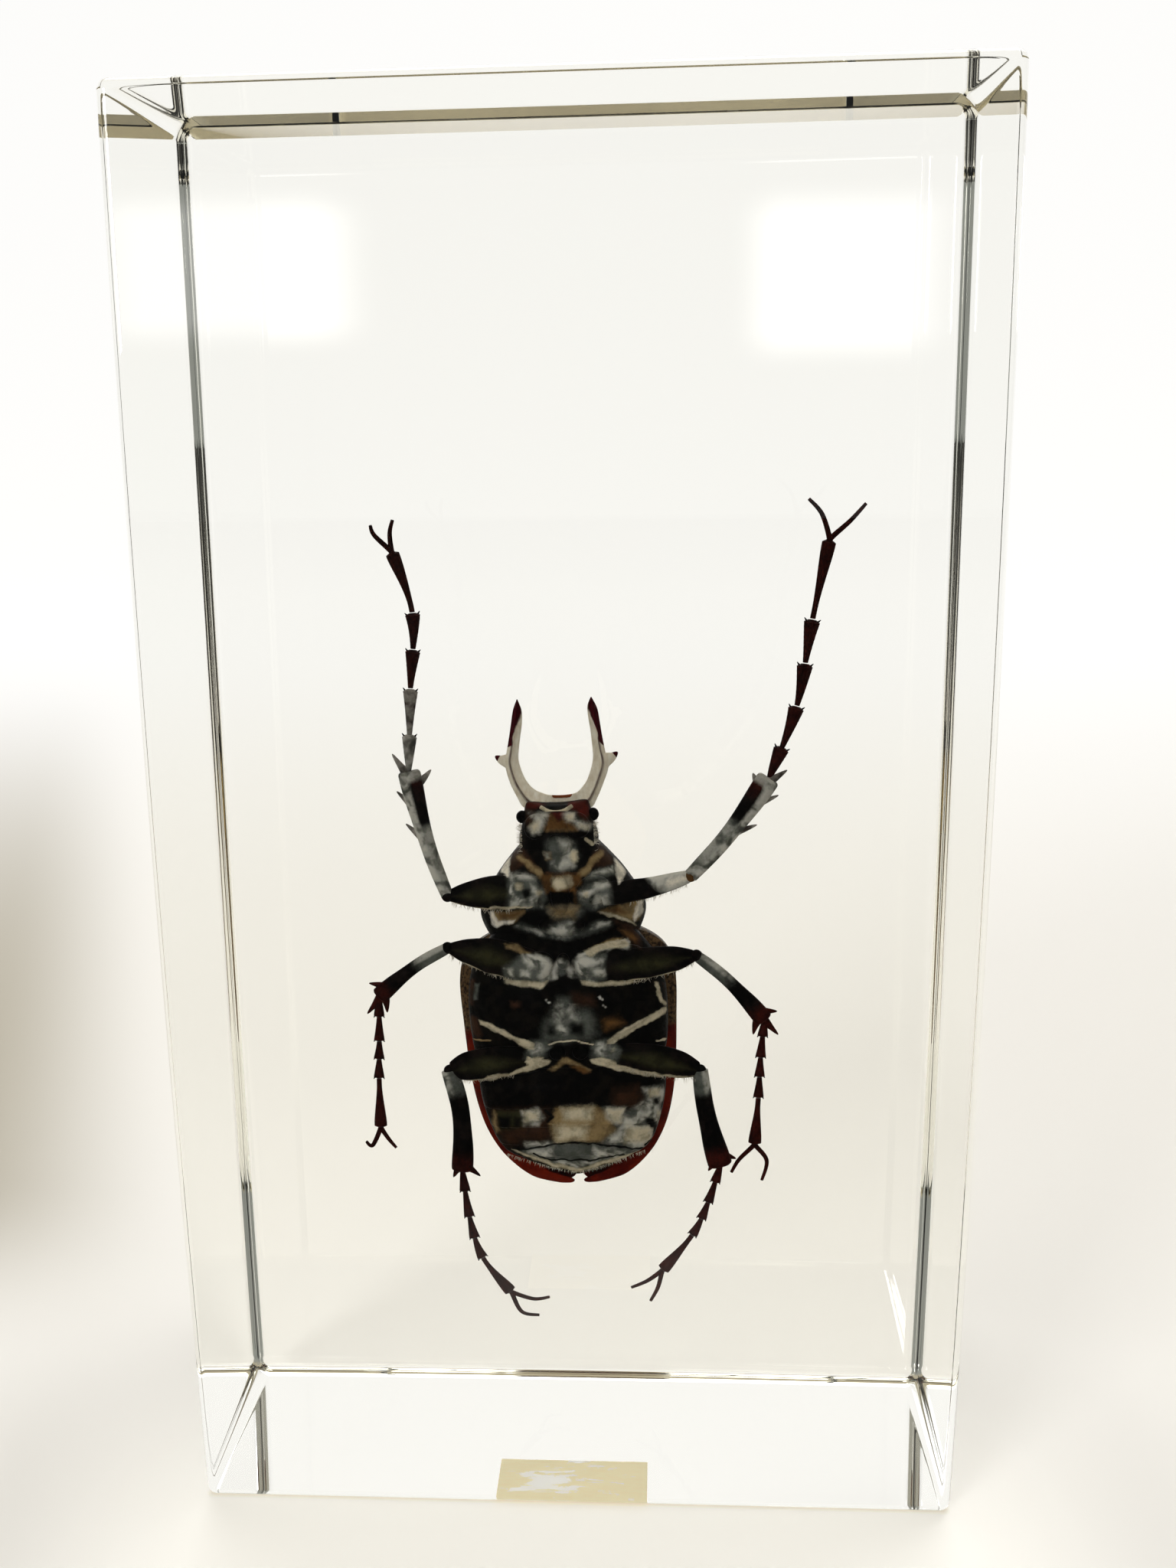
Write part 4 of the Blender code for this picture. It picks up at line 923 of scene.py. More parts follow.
def make_block():
    """One clear cast block: rounded edges, sides crowned by polishing, and a top lower at its left."""
    finish = Finish("clear cast resin", Base_Color=(1.0, 1.0, 1.0), Roughness=0.0, IOR=RESIN_INDEX,
                    Transmission_Weight=1.0)
    absorb = finish.add("ShaderNodeVolumeAbsorption", {}, {"Color": RESIN_TINT, "Density": RESIN_DENSITY})
    output = next(node for node in finish.tree.nodes if node.type == "OUTPUT_MATERIAL")
    finish.tree.links.new(absorb.socket, output.inputs["Volume"])
    halves = np.array(BLOCK) / 2.0
    steps = [edge_steps(half, BACK_EDGE, part) for half, part in zip(halves, BLOCK_CELLS)]
    shell = Shell()
    normals = []
    for axis in range(3):
        first, second = (index for index in range(3) if index != axis)
        for sign in (-1.0, 1.0):
            a, b = np.meshgrid(steps[first], steps[second], indexing="ij")
            cube = np.zeros((*a.shape, 3))
            cube[..., first], cube[..., second], cube[..., axis] = a, b, sign * halves[axis]
            radius = FRONT_EDGE + (BACK_EDGE - FRONT_EDGE) * soft_step(cube[..., 1:2], -9.0, 9.0)
            inner = np.clip(cube, radius - halves, halves - radius)
            out = cube - inner
            out /= np.linalg.norm(out, axis=-1)[..., None]
            shell.grid(inner + radius * out, closed=False)
            normals.append(out.reshape(-1, 3))
    points = shell.every_point()
    normals = np.vstack(normals)
    slant = np.array((0.0, BEVEL[1], BEVEL[0])) / math.hypot(*BEVEL)
    beyond = np.clip((points - halves + (0.0, BEVEL[0], 0.0)) @ slant, 0.0, None)[:, None]
    points = points - beyond * slant
    normals = np.where(beyond > 0.0, slant, normals)
    share = points[:, 2] / halves[2]
    narrow = 1.0 - SIDE_CROWN / halves[0] * share ** 2
    slope = -points[:, 0] * 2.0 * SIDE_CROWN / halves[0] * share / halves[2]
    rise = normals[:, 2] * narrow - normals[:, 0] * slope
    normals = np.stack((normals[:, 0], normals[:, 1] * narrow, rise), axis=1)
    normals /= np.linalg.norm(normals, axis=1)[:, None]
    points[:, 0] *= narrow
    points[:, 2] += halves[2]
    lowered = 1.0 - TOP_SLANT / BLOCK[2] * (0.5 - points[:, 0] / BLOCK[0])
    normals[:, 2] /= lowered
    normals[:, 0] -= normals[:, 2] * points[:, 2] * TOP_SLANT / (BLOCK[2] * BLOCK[0])
    normals /= np.linalg.norm(normals, axis=1)[:, None]
    points[:, 2] *= lowered
    shell.points = [points]
    mesh = shell.mesh("resin_block")
    shape = bmesh.new()
    shape.from_mesh(mesh)
    source = shape.verts.layers.int.new("source")
    for vert in shape.verts:
        vert[source] = vert.index
    bmesh.ops.remove_doubles(shape, verts=shape.verts, dist=1e-7)
    bmesh.ops.recalc_face_normals(shape, faces=shape.faces)
    kept = [vert[source] for vert in shape.verts]
    shape.to_mesh(mesh)
    shape.free()
    mesh.attributes.remove(mesh.attributes["source"])
    mesh.shade_smooth()
    mesh.normals_split_custom_set_from_vertices(normals[kept].tolist())
    mesh.materials.append(finish.material)
    block = placed("resin_block", mesh)
    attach(block, "root")
    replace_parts(block, "resin_front_half", "resin_back_half")


def make_label():
    """Blank khaki sticker that lies against the resin and follows its rounded front edge. Its paper has a
    painted glow, and where air lies under it, it is painted white as a reflection.
    """
    finish = Finish("khaki label with painted glow and reflections", Roughness=0.75, Specular_IOR_Level=0.2)
    fibres = finish.cloud(0.35, detail=4.0, stretch=(0.4, 1.0, 1.0))
    paper = finish.blend(fibres, (0.86, 0.75, 0.47), (0.94, 0.85, 0.58))
    reflecting_gap_noise = finish.cloud(1.5, detail=5.0, roughness=0.7, distortion=0.6, stretch=(0.45, 1.0, 1.0))
    # Where air lies under the paper it is painted near white: a painted reflection.
    reflecting_gap_mask = finish.between(reflecting_gap_noise + 0.16 * finish.value("glue_gap"), 0.625, 0.665)
    paper = finish.blend(reflecting_gap_mask, paper, (0.97, 0.97, 0.95))
    # The paper glows a little in its own colour: painted light.
    finish.wear(Base_Color=paper, Emission_Color=paper, Emission_Strength=0.22,
                Normal=finish.bumped(fibres, 0.01))
    x, y = np.meshgrid(np.linspace(*LABEL_ACROSS, 50), np.linspace(*LABEL_DEEP, 40), indexing="ij")
    past = np.clip(-y - (BLOCK[1] / 2.0 - FRONT_EDGE), 0.0, FRONT_EDGE)
    rise = FRONT_EDGE - np.sqrt(FRONT_EDGE ** 2 - past ** 2)
    ragged = 0.03 * ripple(np.stack((x, y, 0.0 * x), axis=-1), 1.3, 3)
    # Where the air under the paper, with its painted reflection, gathers.
    reflecting_gap_bias = 1.2 * np.exp(-((x + 2.6) / 2.2) ** 2 - ((y + 9.0) / 2.8) ** 2)
    reflecting_gap_bias = reflecting_gap_bias + 0.5 * np.exp(-((x - 0.6) / 1.6) ** 2)
    under = np.stack((x, y + ragged, LABEL_LOW + rise), axis=-1)
    over = under + np.array((0.0, 0.0, LABEL_THICK))
    ring = np.concatenate((under, over[:, ::-1]), axis=1)
    shell = Shell()
    shell.grid(ring, glue_gap=np.concatenate((reflecting_gap_bias, reflecting_gap_bias[:, ::-1]), axis=1))
    label = shell.piece("label_sticker", finish)
    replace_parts(label, "label")


def cuticle_finish(name, ground=(0.0010, 0.0008, 0.0008), sheen=(0.0050, 0.0035, 0.0025)):
    """Shiny dried cuticle whose tones come from the values painted on its points, with ragged borders. Its
    silvery, pale and some of its cream tones are painted reflections and highlights.
    """
    finish = Finish(name, IOR=CUTICLE_IN_RESIN)
    blotch = finish.cloud(1.1, detail=4.0)
    swirl = finish.cloud(0.42, detail=3.0, distortion=1.6)
    fine = finish.cloud(0.16, detail=3.0)
    colour = finish.blend(finish.between(blotch, 0.45, 0.65), ground, sheen)
    ragged = (swirl - 0.5) * 0.24 + (fine - 0.5) * 0.12
    smoke = finish.cloud(0.9, detail=2.0, roughness=0.5, distortion=0.5)
    for tone, ((low, high), full) in TONES.items():
        mask = finish.between(finish.value(tone) + ragged, low, high)
        dim = tuple(0.58 * part for part in full)
        # Silver is a painted reflection: in smoky places it fades to its dim shade.
        if tone == "silver":
            patchy = finish.blend(finish.between(smoke * 0.9 + fine * 0.1, 0.34, 0.60), DIM_SILVER_REFLECTION, full)
        else:
            patchy = finish.blend(finish.between(smoke * 0.75 + fine * 0.25, 0.36, 0.60), dim, full)
        colour = finish.blend(mask, colour, patchy)
    pits = finish.cells(0.14)
    grain = finish.between(pits, 0.0, 0.35) * 0.6 + fine * 0.5
    finish.wear(Base_Color=colour, Roughness=finish.between(fine, 0.3, 0.7, 0.26, 0.48),
                Normal=finish.bumped(grain, 0.02, 0.7))
    return finish


def make_abdomen(finish):
    shell = Shell()
    across, depth, along, turns = sections(ABDOMEN, 230, 260)
    under = soft_step(-np.sin(turns), 0.0, 0.35) + 0.0 * along
    edges = sorted(PLATE_EDGES + (-10.8, 0.4), reverse=True)
    bow = 0.35 * (across / 6.0) ** 2
    for front, rear in zip(edges, edges[1:]):
        inside = (along + bow <= front) & (along + bow > rear)
        share = np.clip((front - along - bow) / (front - rear), 0.0, 1.0)
        step = 0.20 * soft_step(share, 0.0, 0.5) - 0.10 * soft_step(share, 0.93, 1.0) - 0.16
        depth = depth - np.where(inside, step, 0.0) * under
    points = in_block(np.stack((across, depth, along), axis=-1))
    rough = 0.035 * ripple(points, 1.1, 11) + 0.015 * ripple(points, 0.4, 12)
    points[..., 1] += rough * under
    shell.grid(points, **marked(points, under))
    return shell.piece("abdomen", finish)


def make_chest(finish):
    """Breast plates with their middle furrow, side seams and hips."""
    shell = Shell()
    across, depth, along, turns = sections(CHEST, 230, 260)
    under = soft_step(-np.sin(turns), 0.0, 0.3) + 0.0 * along
    furrow = 0.14 * np.exp(-(across / 0.22) ** 2)
    furrow = furrow * soft_step(along, -0.6, 0.4) * (1.0 - soft_step(along, 3.2, 4.0))
    swell = -0.18 * np.exp(-((np.abs(across) - 2.4) / 1.6) ** 2 - ((along - 1.6) / 1.4) ** 2)
    depth = depth + (furrow + swell) * under
    points = in_block(np.stack((across, depth, along), axis=-1))
    points[..., 1] += (0.03 * ripple(points, 1.3, 21) + 0.02 * ripple(points, 0.5, 22)) * under
    for places in SIDE_SEAMS:
        seam = stroke_distance(points[..., 0], points[..., 2], places)
        points[..., 1] -= 0.16 * np.exp(-(seam / 0.16) ** 2) * under
    shell.grid(points, **marked(points, under))
    for side in (-1.0, 1.0):
        lump(shell, (side * 2.15, -3.35, 9.5), (1.15, 0.95, 0.95), tilt_deg=side * 12.0)
        lump(shell, (side * 1.1, -3.5, 9.2), (0.55, 0.6, 0.6))
        lump(shell, (side * 1.75, -3.85, 4.6), (1.25, 0.85, 1.0), tilt_deg=side * -24.0)
        lump(shell, (side * 3.4, -3.7, 5.2), (1.7, 0.7, 0.6), tilt_deg=side * 10.0)
        lump(shell, (side * 3.2, -3.85, -1.5), (3.2, 0.62, 0.85), tilt_deg=side * -8.0, power=2.3)
        lump(shell, (side * 0.75, -4.25, -1.2), (0.55, 0.5, 0.55))
    lump(shell, (0.0, -4.25, 5.0), (0.42, 0.55, 0.55))
    lump(shell, (0.0, -3.45, 7.3), (1.5, 0.55, 0.8))
    lump(shell, (0.0, -3.5, 9.3), (0.6, 0.6, 1.4))
    return shell.piece("chest", finish)


def make_shoulder_plate(finish):
    shell = Shell()
    across, depth, along, turns = sections(SHOULDER_PLATE, 170, 240)
    under = soft_step(-np.sin(turns), -0.1, 0.2) + 0.0 * along
    rim = np.exp(-((np.cos(turns) ** 2 - 1.0) / 0.05) ** 2)
    points = in_block(np.stack((across * (1.0 + 0.012 * rim), depth, along), axis=-1))
    points[..., 1] += 0.03 * ripple(points, 1.0, 31)
    bloom = soft_step(np.sin(turns), 0.05, 0.3) + 0.0 * along
    stripe = np.exp(-((np.abs(across) - 1.25 - 0.06 * (along - 8.5)) / 0.42) ** 2) * bloom
    shell.grid(points, bloom=bloom, stripe=stripe, **marked(points, under))
    return shell.piece("shoulder_plate", finish)


def make_head(finish):
    shell = Shell()
    across, depth, along, turns = sections(HEAD, 130, 170)
    under = soft_step(-np.sin(turns), -0.2, 0.2) + 0.0 * along
    brow = 0.25 * soft_step(along, 13.8, 14.6) * (np.abs(across) / 2.2) ** 2
    points = in_block(np.stack((across, depth, along + brow), axis=-1))
    points[..., 1] += 0.03 * ripple(points, 0.8, 41)
    shell.grid(points, **marked(points, under))
    for side in (-1.0, 1.0):
        lump(shell, (side * 2.28, -0.5, 14.0), (0.38, 0.5, 0.42), black=1.0)
        lump(shell, (side * 1.35, -2.2, 13.6), (0.75, 0.6, 0.85), tilt_deg=side * 14.0)
        lump(shell, (side * 0.95, -2.5, 11.3), (0.6, 0.5, 0.9), tilt_deg=side * 30.0)
    lump(shell, (0.1, -2.6, 12.35), (0.85, 0.5, 0.8), power=2.4)
    lump(shell, (0.0, -1.7, 14.0), (1.2, 0.5, 0.5), power=2.4)
    sweep(shell, spline([in_block(np.array(place)) for place in
                         ((-1.0, -1.3, 14.72), (-0.5, -1.6, 14.48), (0.0, -1.7, 14.42), (0.5, -1.6, 14.48),
                          (1.0, -1.3, 14.72))], 24), 0.13, 0.12, cream=0.9)
    return shell.piece("head", finish)


def make_horns(finish):
    """A forked plate with thin pale flanges and a dark ridge that swells into the tips."""
    table = spline([(*outer, *inner, depth) for outer, inner, depth in HORN_PLATE], 200)
    turns = all_round(28)
    share = 0.5 - 0.5 * np.cos(turns)
    outer = np.stack((table[:, 0], table[:, 4], table[:, 1]), axis=1)[:, None, :]
    inner = np.stack((table[:, 2], table[:, 4], table[:, 3]), axis=1)[:, None, :]
    width = np.linalg.norm(outer - inner, axis=-1)
    flat = outer + (inner - outer) * share[None, :, None]
    way = np.abs(np.linspace(-1.0, 1.0, 200))[:, None] + 0.0 * turns
    ridge_place = 0.36
    ridge = np.exp(-((share[None, :] - ridge_place) / 0.17) ** 2)
    thick = (0.10 + 0.26 * ridge) * np.minimum(1.0, width / 0.5) * np.abs(np.sin(turns))[None, :] ** 0.6
    points = flat
    points[..., 1] += np.sign(np.sin(turns))[None, :] * thick
    edge = 0.38 + 0.70 * soft_step(way, 0.70, 0.93)
    dark_top = np.clip(1.0 - 0.5 * share[None, :] / edge, 0.0, 1.0) * soft_step(way, 0.60, 0.66)
    thin_line = np.clip(1.0 - 0.5 * np.abs(share[None, :] - ridge_place) / 0.10, 0.0, 1.0)
    thin_line = thin_line * soft_step(way, 0.16, 0.22) * (1.0 - soft_step(way, 0.66, 0.72))
    bottom = np.clip(1.0 - 0.5 * np.abs(1.0 - share[None, :]) / 0.16, 0.0, 1.0)
    bottom = bottom * (1.0 - soft_step(way, 0.06, 0.14))
    shell = Shell()
    shell.grid(points, horn=np.ones(points.shape[:2]), maroon=dark_top, line=thin_line, bow=bottom)
    for root, tip in HORN_TEETH:
        middle = np.array(root) * 0.45 + np.array(tip) * 0.55 + np.array((0.0, 0.0, -0.08))
        path = spline((root, middle, tip), 12)
        t = np.linspace(0.0, 1.0, 12)
        sweep(shell, path, 0.50 * (1 - t) ** 0.9 + 0.04, 0.16 * (1 - t) + 0.04, sides=12,
              maroon=np.repeat(soft_step(t, 0.55, 0.8), 12), horn=1.0)
    return shell.piece("horns", finish)


def horn_finish():
    finish = Finish("pale horn with maroon ridge", IOR=CUTICLE_IN_RESIN)
    fine = finish.cloud(0.3, detail=3.0, stretch=(1.0, 1.0, 0.5))
    pale = finish.ramp(fine, (0.25, (0.66, 0.57, 0.43)), (0.6, (0.84, 0.78, 0.66)), (0.9, (0.92, 0.89, 0.82)))
    ragged = (fine - 0.5) * 0.3
    colour = pale
    for name, low, high, tint in HORN_MARKS:
        colour = finish.blend(finish.between(finish.value(name) + ragged, low, high), colour, tint)
    finish.wear(Base_Color=colour, Roughness=0.32, Normal=finish.bumped(fine, 0.015))
    return finish


def wing_finish():
    """Red-brown wing cases: deep red along the rim where no bloom covers them, partly their own red and
    partly a painted glow of light shining through, dusted with a grey-tan bloom on the back.
    """
    finish = Finish("bloomed wing case", IOR=CUTICLE_IN_RESIN)
    blotch = finish.cloud(2.6, detail=4.0, distortion=0.6)
    fine = finish.cloud(0.25, detail=3.0)
    pits = finish.cells(0.3)
    # The deep red where no bloom lies is partly the cuticle's own and partly painted glow of light shining
    # through.
    bare_red_and_glow = finish.blend(finish.between(blotch, 0.35, 0.65), (0.060, 0.002, 0.001), (0.150, 0.010, 0.002))
    dust = finish.blend(finish.between(fine, 0.3, 0.7), (0.25, 0.19, 0.115), (0.36, 0.29, 0.19))
    share = finish.between(finish.value("bloom") + (blotch - 0.5) * 0.7 + (fine - 0.5) * 0.4, 0.42, 0.62)
    spots = finish.between(finish.value("spot") + (fine - 0.5) * 0.3, 0.42, 0.6)
    flank = finish.between(finish.value("flank") + (blotch - 0.5) * 0.6, 0.35, 0.75)
    speckled = finish.blend(finish.between(fine, 0.35, 0.6), (0.020, 0.011, 0.007), (0.11, 0.065, 0.03))
    bare_red_and_glow = finish.blend(flank, bare_red_and_glow, speckled)
    colour = finish.blend(share, bare_red_and_glow, dust)
    colour = finish.blend(spots, colour, (0.018, 0.008, 0.005))
    grain = finish.between(pits, 0.0, 0.4) + fine * 0.4
    finish.wear(Base_Color=colour, Roughness=finish.between(share, 0.0, 1.0, 0.24, 0.7),
                Normal=finish.bumped(grain, 0.03, 0.6))
    return finish


def plate_finish():
    """The shoulder plate: the underside's tones below, painted reflections among them, and an ochre bloom
    with two dark stripes on the back.
    """
    finish = cuticle_finish("shoulder plate cuticle")
    links = finish.tree.links
    under = Field(finish, finish.shader.inputs["Base Color"].links[0].from_socket)
    fine = finish.cloud(0.22, detail=3.0)
    dust = finish.blend(finish.between(fine, 0.3, 0.7), (0.40, 0.27, 0.10), (0.56, 0.42, 0.20))
    share = finish.between(finish.value("bloom") + (fine - 0.5) * 0.3, 0.42, 0.6)
    stripe = finish.between(finish.value("stripe") + (fine - 0.5) * 0.4, 0.42, 0.62)
    dusted = finish.blend(stripe, dust, (0.012, 0.008, 0.006))
    links.remove(finish.shader.inputs["Base Color"].links[0])
    finish.wear(Base_Color=finish.blend(share, under, dusted))
    return finish


def make_wing_cases(finish):
    shell = Shell()
    rows, columns = 170, 70
    for side in (-1.0, 1.0):
        along, half, low, middle, high = (column[:, None] for column in spline(WING_CASES, rows).T)
        lobe = 0.80 - 0.75 * np.sqrt(np.clip(1.0 - ((TIP_START - along) / TIP_LENGTH) ** 2, 0.0, 1.0))
        seam = np.where(along < TIP_START, lobe, 0.05 + 0.05 * soft_step(along, -10.9, TIP_START))
        stop = -1.05 - 0.52 * (1.0 - soft_step(along, -11.6, -10.4))
        turns = math.pi / 2 + (stop - math.pi / 2) * np.linspace(0.0, 1.0, columns)[None, :]
        wide, deep = ring_shape(turns)
        reach = np.maximum(half - seam, 0.02)
        rings = []
        for inset in (0.0, 0.28):
            across = seam + np.maximum(reach - inset, 0.01) * wide
            above, below = high - middle - inset, middle - low - inset * 0.4
            depth = middle + np.where(deep > 0, deep * above, deep * below)
            rings.append(np.stack((side * across, depth, along + 0.0 * turns), axis=-1))
        ribs = 0.05 * (np.exp(-((turns - 1.15) / 0.07) ** 2) + np.exp(-((turns - 0.75) / 0.07) ** 2))
        rings[0][..., 1] += ribs * soft_step(along, -10.0, -7.0) * (1 - soft_step(along, 3.0, 5.0))
        ring = np.concatenate((rings[0], rings[1][:, ::-1]), axis=1)
        bloom = soft_step(np.sin(turns), 0.25, 0.6) * soft_step(along, -11.4, -10.0)
        spot = np.exp(-((turns - 0.9) / 0.16) ** 2 - ((along - 3.6) / 0.8) ** 2)
        spot = spot + np.exp(-((turns - 0.7) / 0.14) ** 2 - ((along + 6.5) / 0.8) ** 2)
        blank = np.zeros((rows, columns))
        flank = soft_step(along, -2.0, 1.0) + blank
        values = {"flank": (flank, flank), "bloom": (bloom + blank, blank), "spot": (spot + blank, blank)}
        shell.grid(in_block(ring), **{name: np.concatenate(pair, axis=1) for name, pair in values.items()})
    return shell.piece("wing_cases", finish)


def thigh_tones(name):
    """Olive over the flat, with a cream rim below that comes and goes. The right fore thigh is pale towards
    the knee, painted as reflection and glints.
    """
    def tones(t, lower, beside):
        olive = np.clip(1.0 - 1.05 * np.abs(lower) - 2.6 * np.abs(t - 0.55) ** 1.5, 0.0, 1.0)
        cream = np.clip(1.0 - 0.5 * np.abs(lower + 0.98) / 0.11, 0.0, 1.0) * soft_step(t, 0.25, 0.4)
        cream = cream * (0.74 + 0.26 * np.sin(21.0 * t + LEGS[name]["ankle"][0]))
        if name == "fore_right":
            end = 0.95 * soft_step(t + 0.06 * lower, 0.50, 0.64) * (1.0 - 0.6 * soft_step(-lower, 0.75, 0.95))
            return {"silver": end, "pale": 0.8 * end * soft_step(t, 0.62, 0.72) * (1.0 - np.abs(lower))}
        return {"olive": olive, "cream": cream}
    return tones


def shin_tones(name):
    """Pale along the fore shins' outer side, as painted reflection; grey near every knee, with painted
    reflection on its outer side; and darker towards the ankle.
    """
    def tones(t, lower, beside):
        outer = soft_step(beside * math.copysign(1.0, LEGS[name]["ankle"][0]), -0.15, 0.35)
        red = LEGS[name]["foot_red"] * soft_step(t, 0.55, 0.9)
        if name.startswith("fore"):
            inner = 0.55 * (1.0 - soft_step(t, 0.48, 0.60)) + 0.62 * soft_step(t, 0.84, 0.92)
            return {"grey": 0.8 - 0.8 * soft_step(t, 0.5, 0.6), "red": red * (1.0 - outer),
                    "silver": inner + (0.80 - inner) * outer, "tan": 0.45 * outer}
        reach = LEGS[name]["knee_grey"]
        grey = 0.85 * (1.0 - soft_step(t, reach * 0.6, reach * 1.3))
        return {"grey": grey, "silver": 0.75 * grey * outer, "red": red}
    return tones


def make_legs(finish):
    shell = Shell()
    for name, leg in LEGS.items():
        path = spline(leg["thigh"], 46)
        t = np.linspace(0.0, 1.0, 46)
        half = spline([(width,) for width in leg["thigh_half"]], 46)[:, 0]
        half = half * (1.0 - 0.5 * soft_step(t, 0.95, 1.0))
        sweep(shell, path, half, half * 0.58, sides=40, power=1.75, marks=True, tones=thigh_tones(name))
        knee, ankle = np.array(leg["thigh"][-1]), np.array(leg["ankle"])
        lump(shell, knee, (0.4, 0.36, 0.4), turned=False, rings=12, sides=16,
             amber=0.8 if name == "fore_right" else 0.0)
        way = (ankle - knee) / np.linalg.norm(ankle - knee)
        side = np.cross(way, (0.0, 1.0, 0.0))
        bend = side * leg["shin_bow"] * math.copysign(1.0, side[0] * knee[0])
        upper, under = knee + (ankle - knee) * 0.35 + bend, knee + (ankle - knee) * 0.7 + bend * 0.8
        path = spline((knee, upper, under, ankle), 44)
        t = np.linspace(0.0, 1.0, 44)
        slim, thick = leg["shin_half"]
        half = slim + (thick - slim) * soft_step(t, 0.0, 1.0) + 0.03 * np.sin(9.0 * t)
        half[-2:] *= (0.96, 0.82)
        sweep(shell, path, half, half * 0.72, sides=26, power=2.2, tones=shin_tones(name))
        for share, tip in leg["teeth"]:
            foot = knee + (ankle - knee) * share * 0.93
            foot = foot + (np.array(tip) - foot) * 0.1
            bow = (foot + np.array(tip)) / 2 + way * -0.06
            s = np.linspace(0.0, 1.0, 12)
            width, depth = 0.36 * (1 - s) ** 0.9 + 0.03, 0.22 * (1 - s) + 0.03
            # The fore shins' teeth get a painted reflection in the silvery tone.
            sweep(shell, spline((foot, bow, tip), 12), width, depth, sides=12,
                  red=leg["foot_red"] + 0.04, silver=0.52 if name.startswith("fore") else 0.0)
    return shell.piece("thighs_and_shins", finish)


def make_feet(finish, joint_finish):
    shell = Shell()
    joints = Shell()
    for name, leg in LEGS.items():
        foot = [np.array(leg["ankle"]) * 0.92 + np.array(leg["foot"][0]) * 0.08, *leg["foot"][1:]]
        way = spline(foot, 200)
        reach = np.linalg.norm(np.diff(way, axis=0), axis=1).sum()
        for start, stop in zip(FOOT_JOINTS, FOOT_JOINTS[1:]):
            last = stop == FOOT_JOINTS[-1]
            low, high = int(199 * start), int(199 * (stop - 0.004))
            path = way[np.linspace(low, high, 26).astype(int)]
            t = np.linspace(0.0, 1.0, 26)
            end_half = 0.15 + 0.145 * (high - low) / 199 * reach
            half = 0.17 + 0.25 * soft_step(t, 0.1, 0.92) if last else 0.16 + (end_half - 0.16) * t ** 1.2
            half = half * (1.0 - 0.5 * soft_step(t, 0.96, 1.0))
            # The fore left foot's first joints get a painted reflection in the silvery tone.
            pale = max(0.0, 0.62 - 0.9 * start) if name == "fore_left" and start < 0.3 else 0.0
            sweep(shell, path, half, half * 0.8, sides=16, red=leg["foot_red"], silver=pale)
            if not last:
                end = path[-1]
                ahead = way[min(high + 6, 199)] - way[high]
                ahead /= np.linalg.norm(ahead)
                side = np.cross(ahead, (0.0, 1.0, 0.0))
                for turn in (-1.0, 1.0):
                    root = end + side * turn * 0.5 * end_half - ahead * 0.2
                    tip = end + side * turn * 0.98 * end_half + ahead * 0.07
                    taper = np.linspace(0.10, 0.02, 8)
                    sweep(shell, spline((root, (root + tip) / 2, tip), 8), taper, taper, sides=8)
            back = way[max(low - 3, 0)]
            lump(joints, back, (0.12, 0.12, 0.12), turned=False, rings=8, sides=12)
        heel = np.array(leg["foot"][-1])
        before = way[188]
        for middle, tip in leg["claws"]:
            path = spline((before, heel, middle, tip), 30)
            t = np.linspace(0.0, 1.0, 30)
            sweep(shell, path, 0.19 - 0.09 * t ** 1.4, 0.15 - 0.07 * t ** 1.4, sides=10,
                  red=leg["foot_red"])
    shell.piece("feet_and_claws", finish)
    joints.piece("foot_joints", joint_finish)


def joint_finish():
    finish = Finish("pale joint skin", Roughness=0.5)
    fine = finish.cloud(0.1, detail=3.0)
    finish.wear(Base_Color=finish.blend(fine, (0.20, 0.16, 0.13), (0.42, 0.37, 0.32)),
                Normal=finish.bumped(fine, 0.01))
    return finish


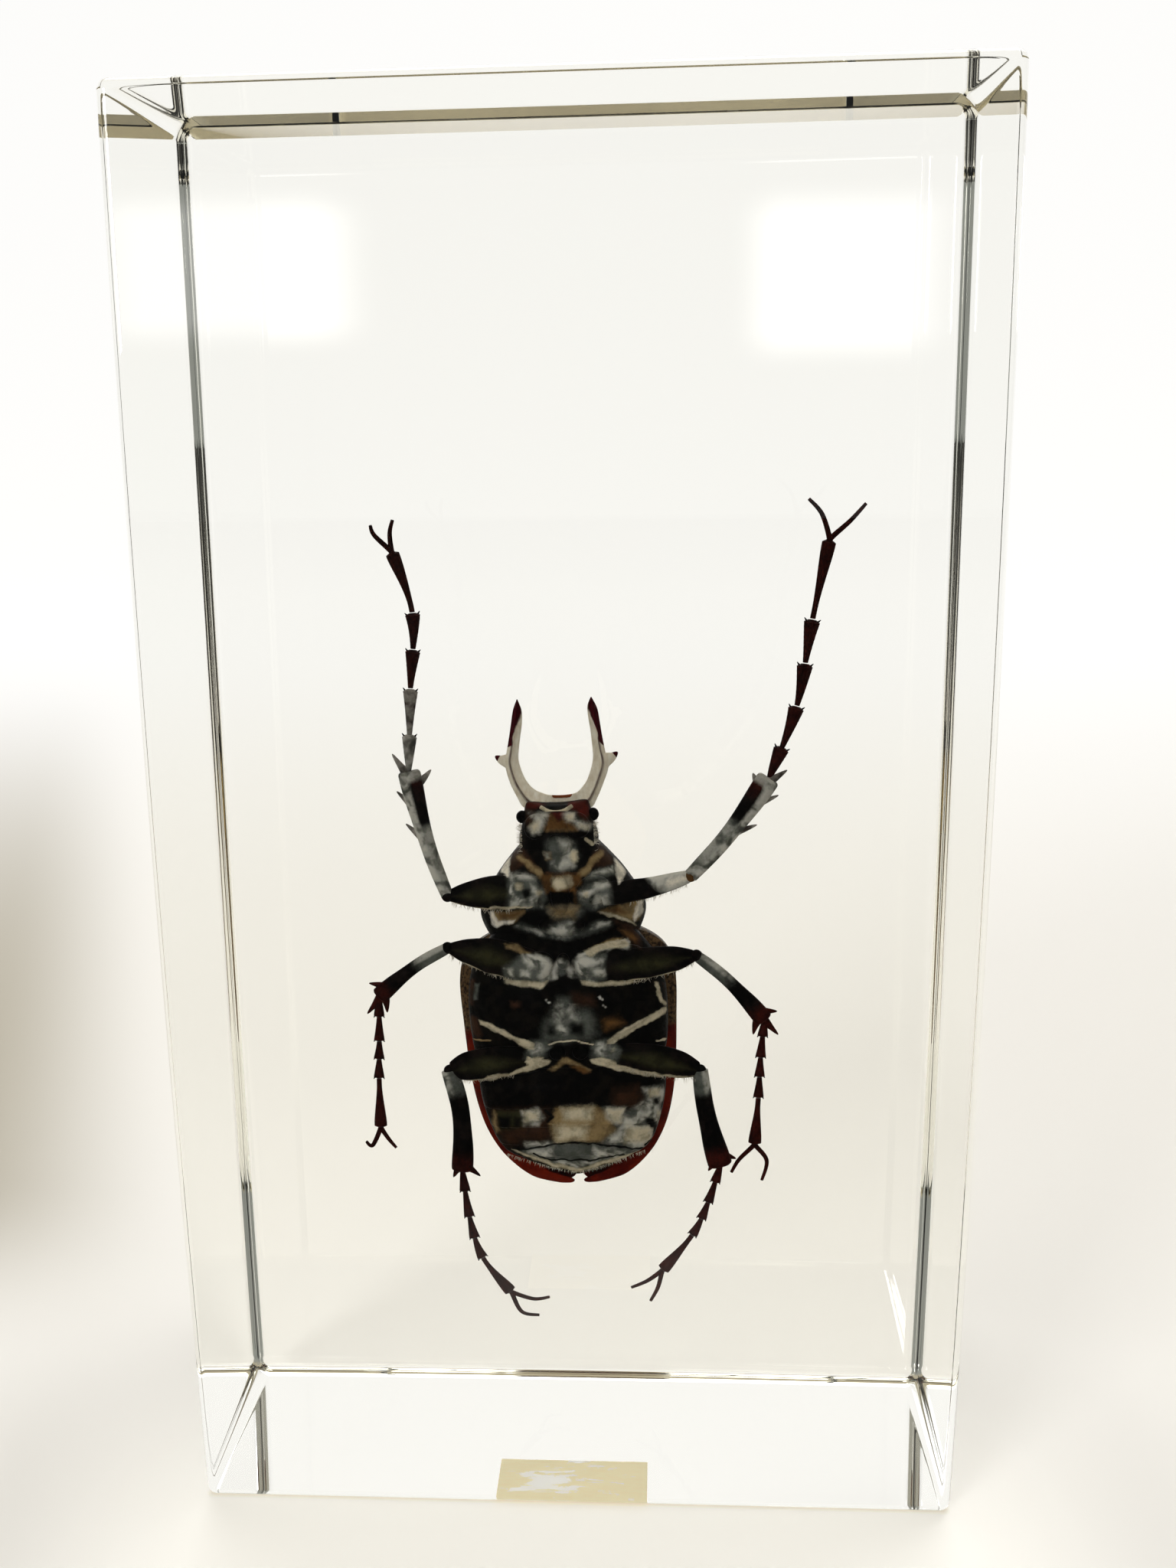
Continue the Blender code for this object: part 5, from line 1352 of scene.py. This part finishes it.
def make_hairs():
    """Fine pale hairs along the thighs, the head's sides, the breast and the tail plate."""
    finish = Finish("pale hair", Roughness=0.45)
    tint = finish.cloud(0.5)
    finish.wear(Base_Color=finish.blend(tint, (0.42, 0.36, 0.27), (0.75, 0.70, 0.60)))
    draw = np.random.default_rng(SEED)
    shell = Shell()

    def hair(root, way, length, bend):
        root, way = np.array(root, float), np.array(way, float)
        way /= np.linalg.norm(way)
        tip = root + way * length + np.array(bend)
        middle = root + way * length * 0.55 + np.array(bend) * 0.2
        taper = np.linspace(0.02, 0.006, 4)
        sweep(shell, spline((root, middle, tip), 4), taper, taper, sides=3)

    for leg in LEGS.values():
        path = spline(leg["thigh"], 40)
        for _ in range(60):
            at = draw.uniform(0.3, 0.97)
            place = path[int(39 * at)]
            half = float(np.interp(at, (0.0, 0.25, 0.5, 0.75, 1.0), leg["thigh_half"]))
            hair(place + (0.0, draw.uniform(-0.2, 0.2), -half * 0.96),
                 (draw.normal(0.0, 0.35), draw.normal(0.0, 0.4), -1.0), draw.uniform(0.15, 0.4),
                 (draw.normal(0.0, 0.05), 0.0, 0.0))
    for side in (-1.0, 1.0):
        for _ in range(90):
            along = draw.uniform(11.8, 13.6)
            root = in_block(np.array((side * 2.3, draw.uniform(-2.0, -0.4), along)))
            hair(root, (side, draw.normal(0.0, 0.4), draw.normal(0.2, 0.4)), draw.uniform(0.15, 0.45),
                 (0.0, 0.0, draw.normal(0.0, 0.08)))
        for _ in range(110):
            across = draw.uniform(0.1, 4.6)
            root = in_block(np.array((side * across, -2.2, -10.3 + 1.5 * (across / 4.7) ** 1.3)))
            hair(root, (side * 0.3 + draw.normal(0.0, 0.3), draw.normal(-0.2, 0.3), -1.0),
                 draw.uniform(0.1, 0.3), (0.0, 0.0, 0.0))
    shell.piece("hairs", finish)


def main():
    make_camera()
    make_lights()
    make_floor()
    make_block()
    make_label()
    underside = cuticle_finish("dark cuticle with pale patches and painted reflections")
    limbs = cuticle_finish("dark leg cuticle", (0.0016, 0.0012, 0.0012), (0.0075, 0.0045, 0.0040))
    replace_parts(make_chest(underside), "beetle")
    make_abdomen(underside)
    make_shoulder_plate(plate_finish())
    make_head(underside)
    make_horns(horn_finish())
    make_wing_cases(wing_finish())
    make_legs(limbs)
    make_feet(limbs, joint_finish())
    make_hairs()


main()
scene = bpy.context.scene
scene.view_settings.view_transform = "Standard"
scene.cycles.max_bounces = 20
scene.cycles.transmission_bounces = 20
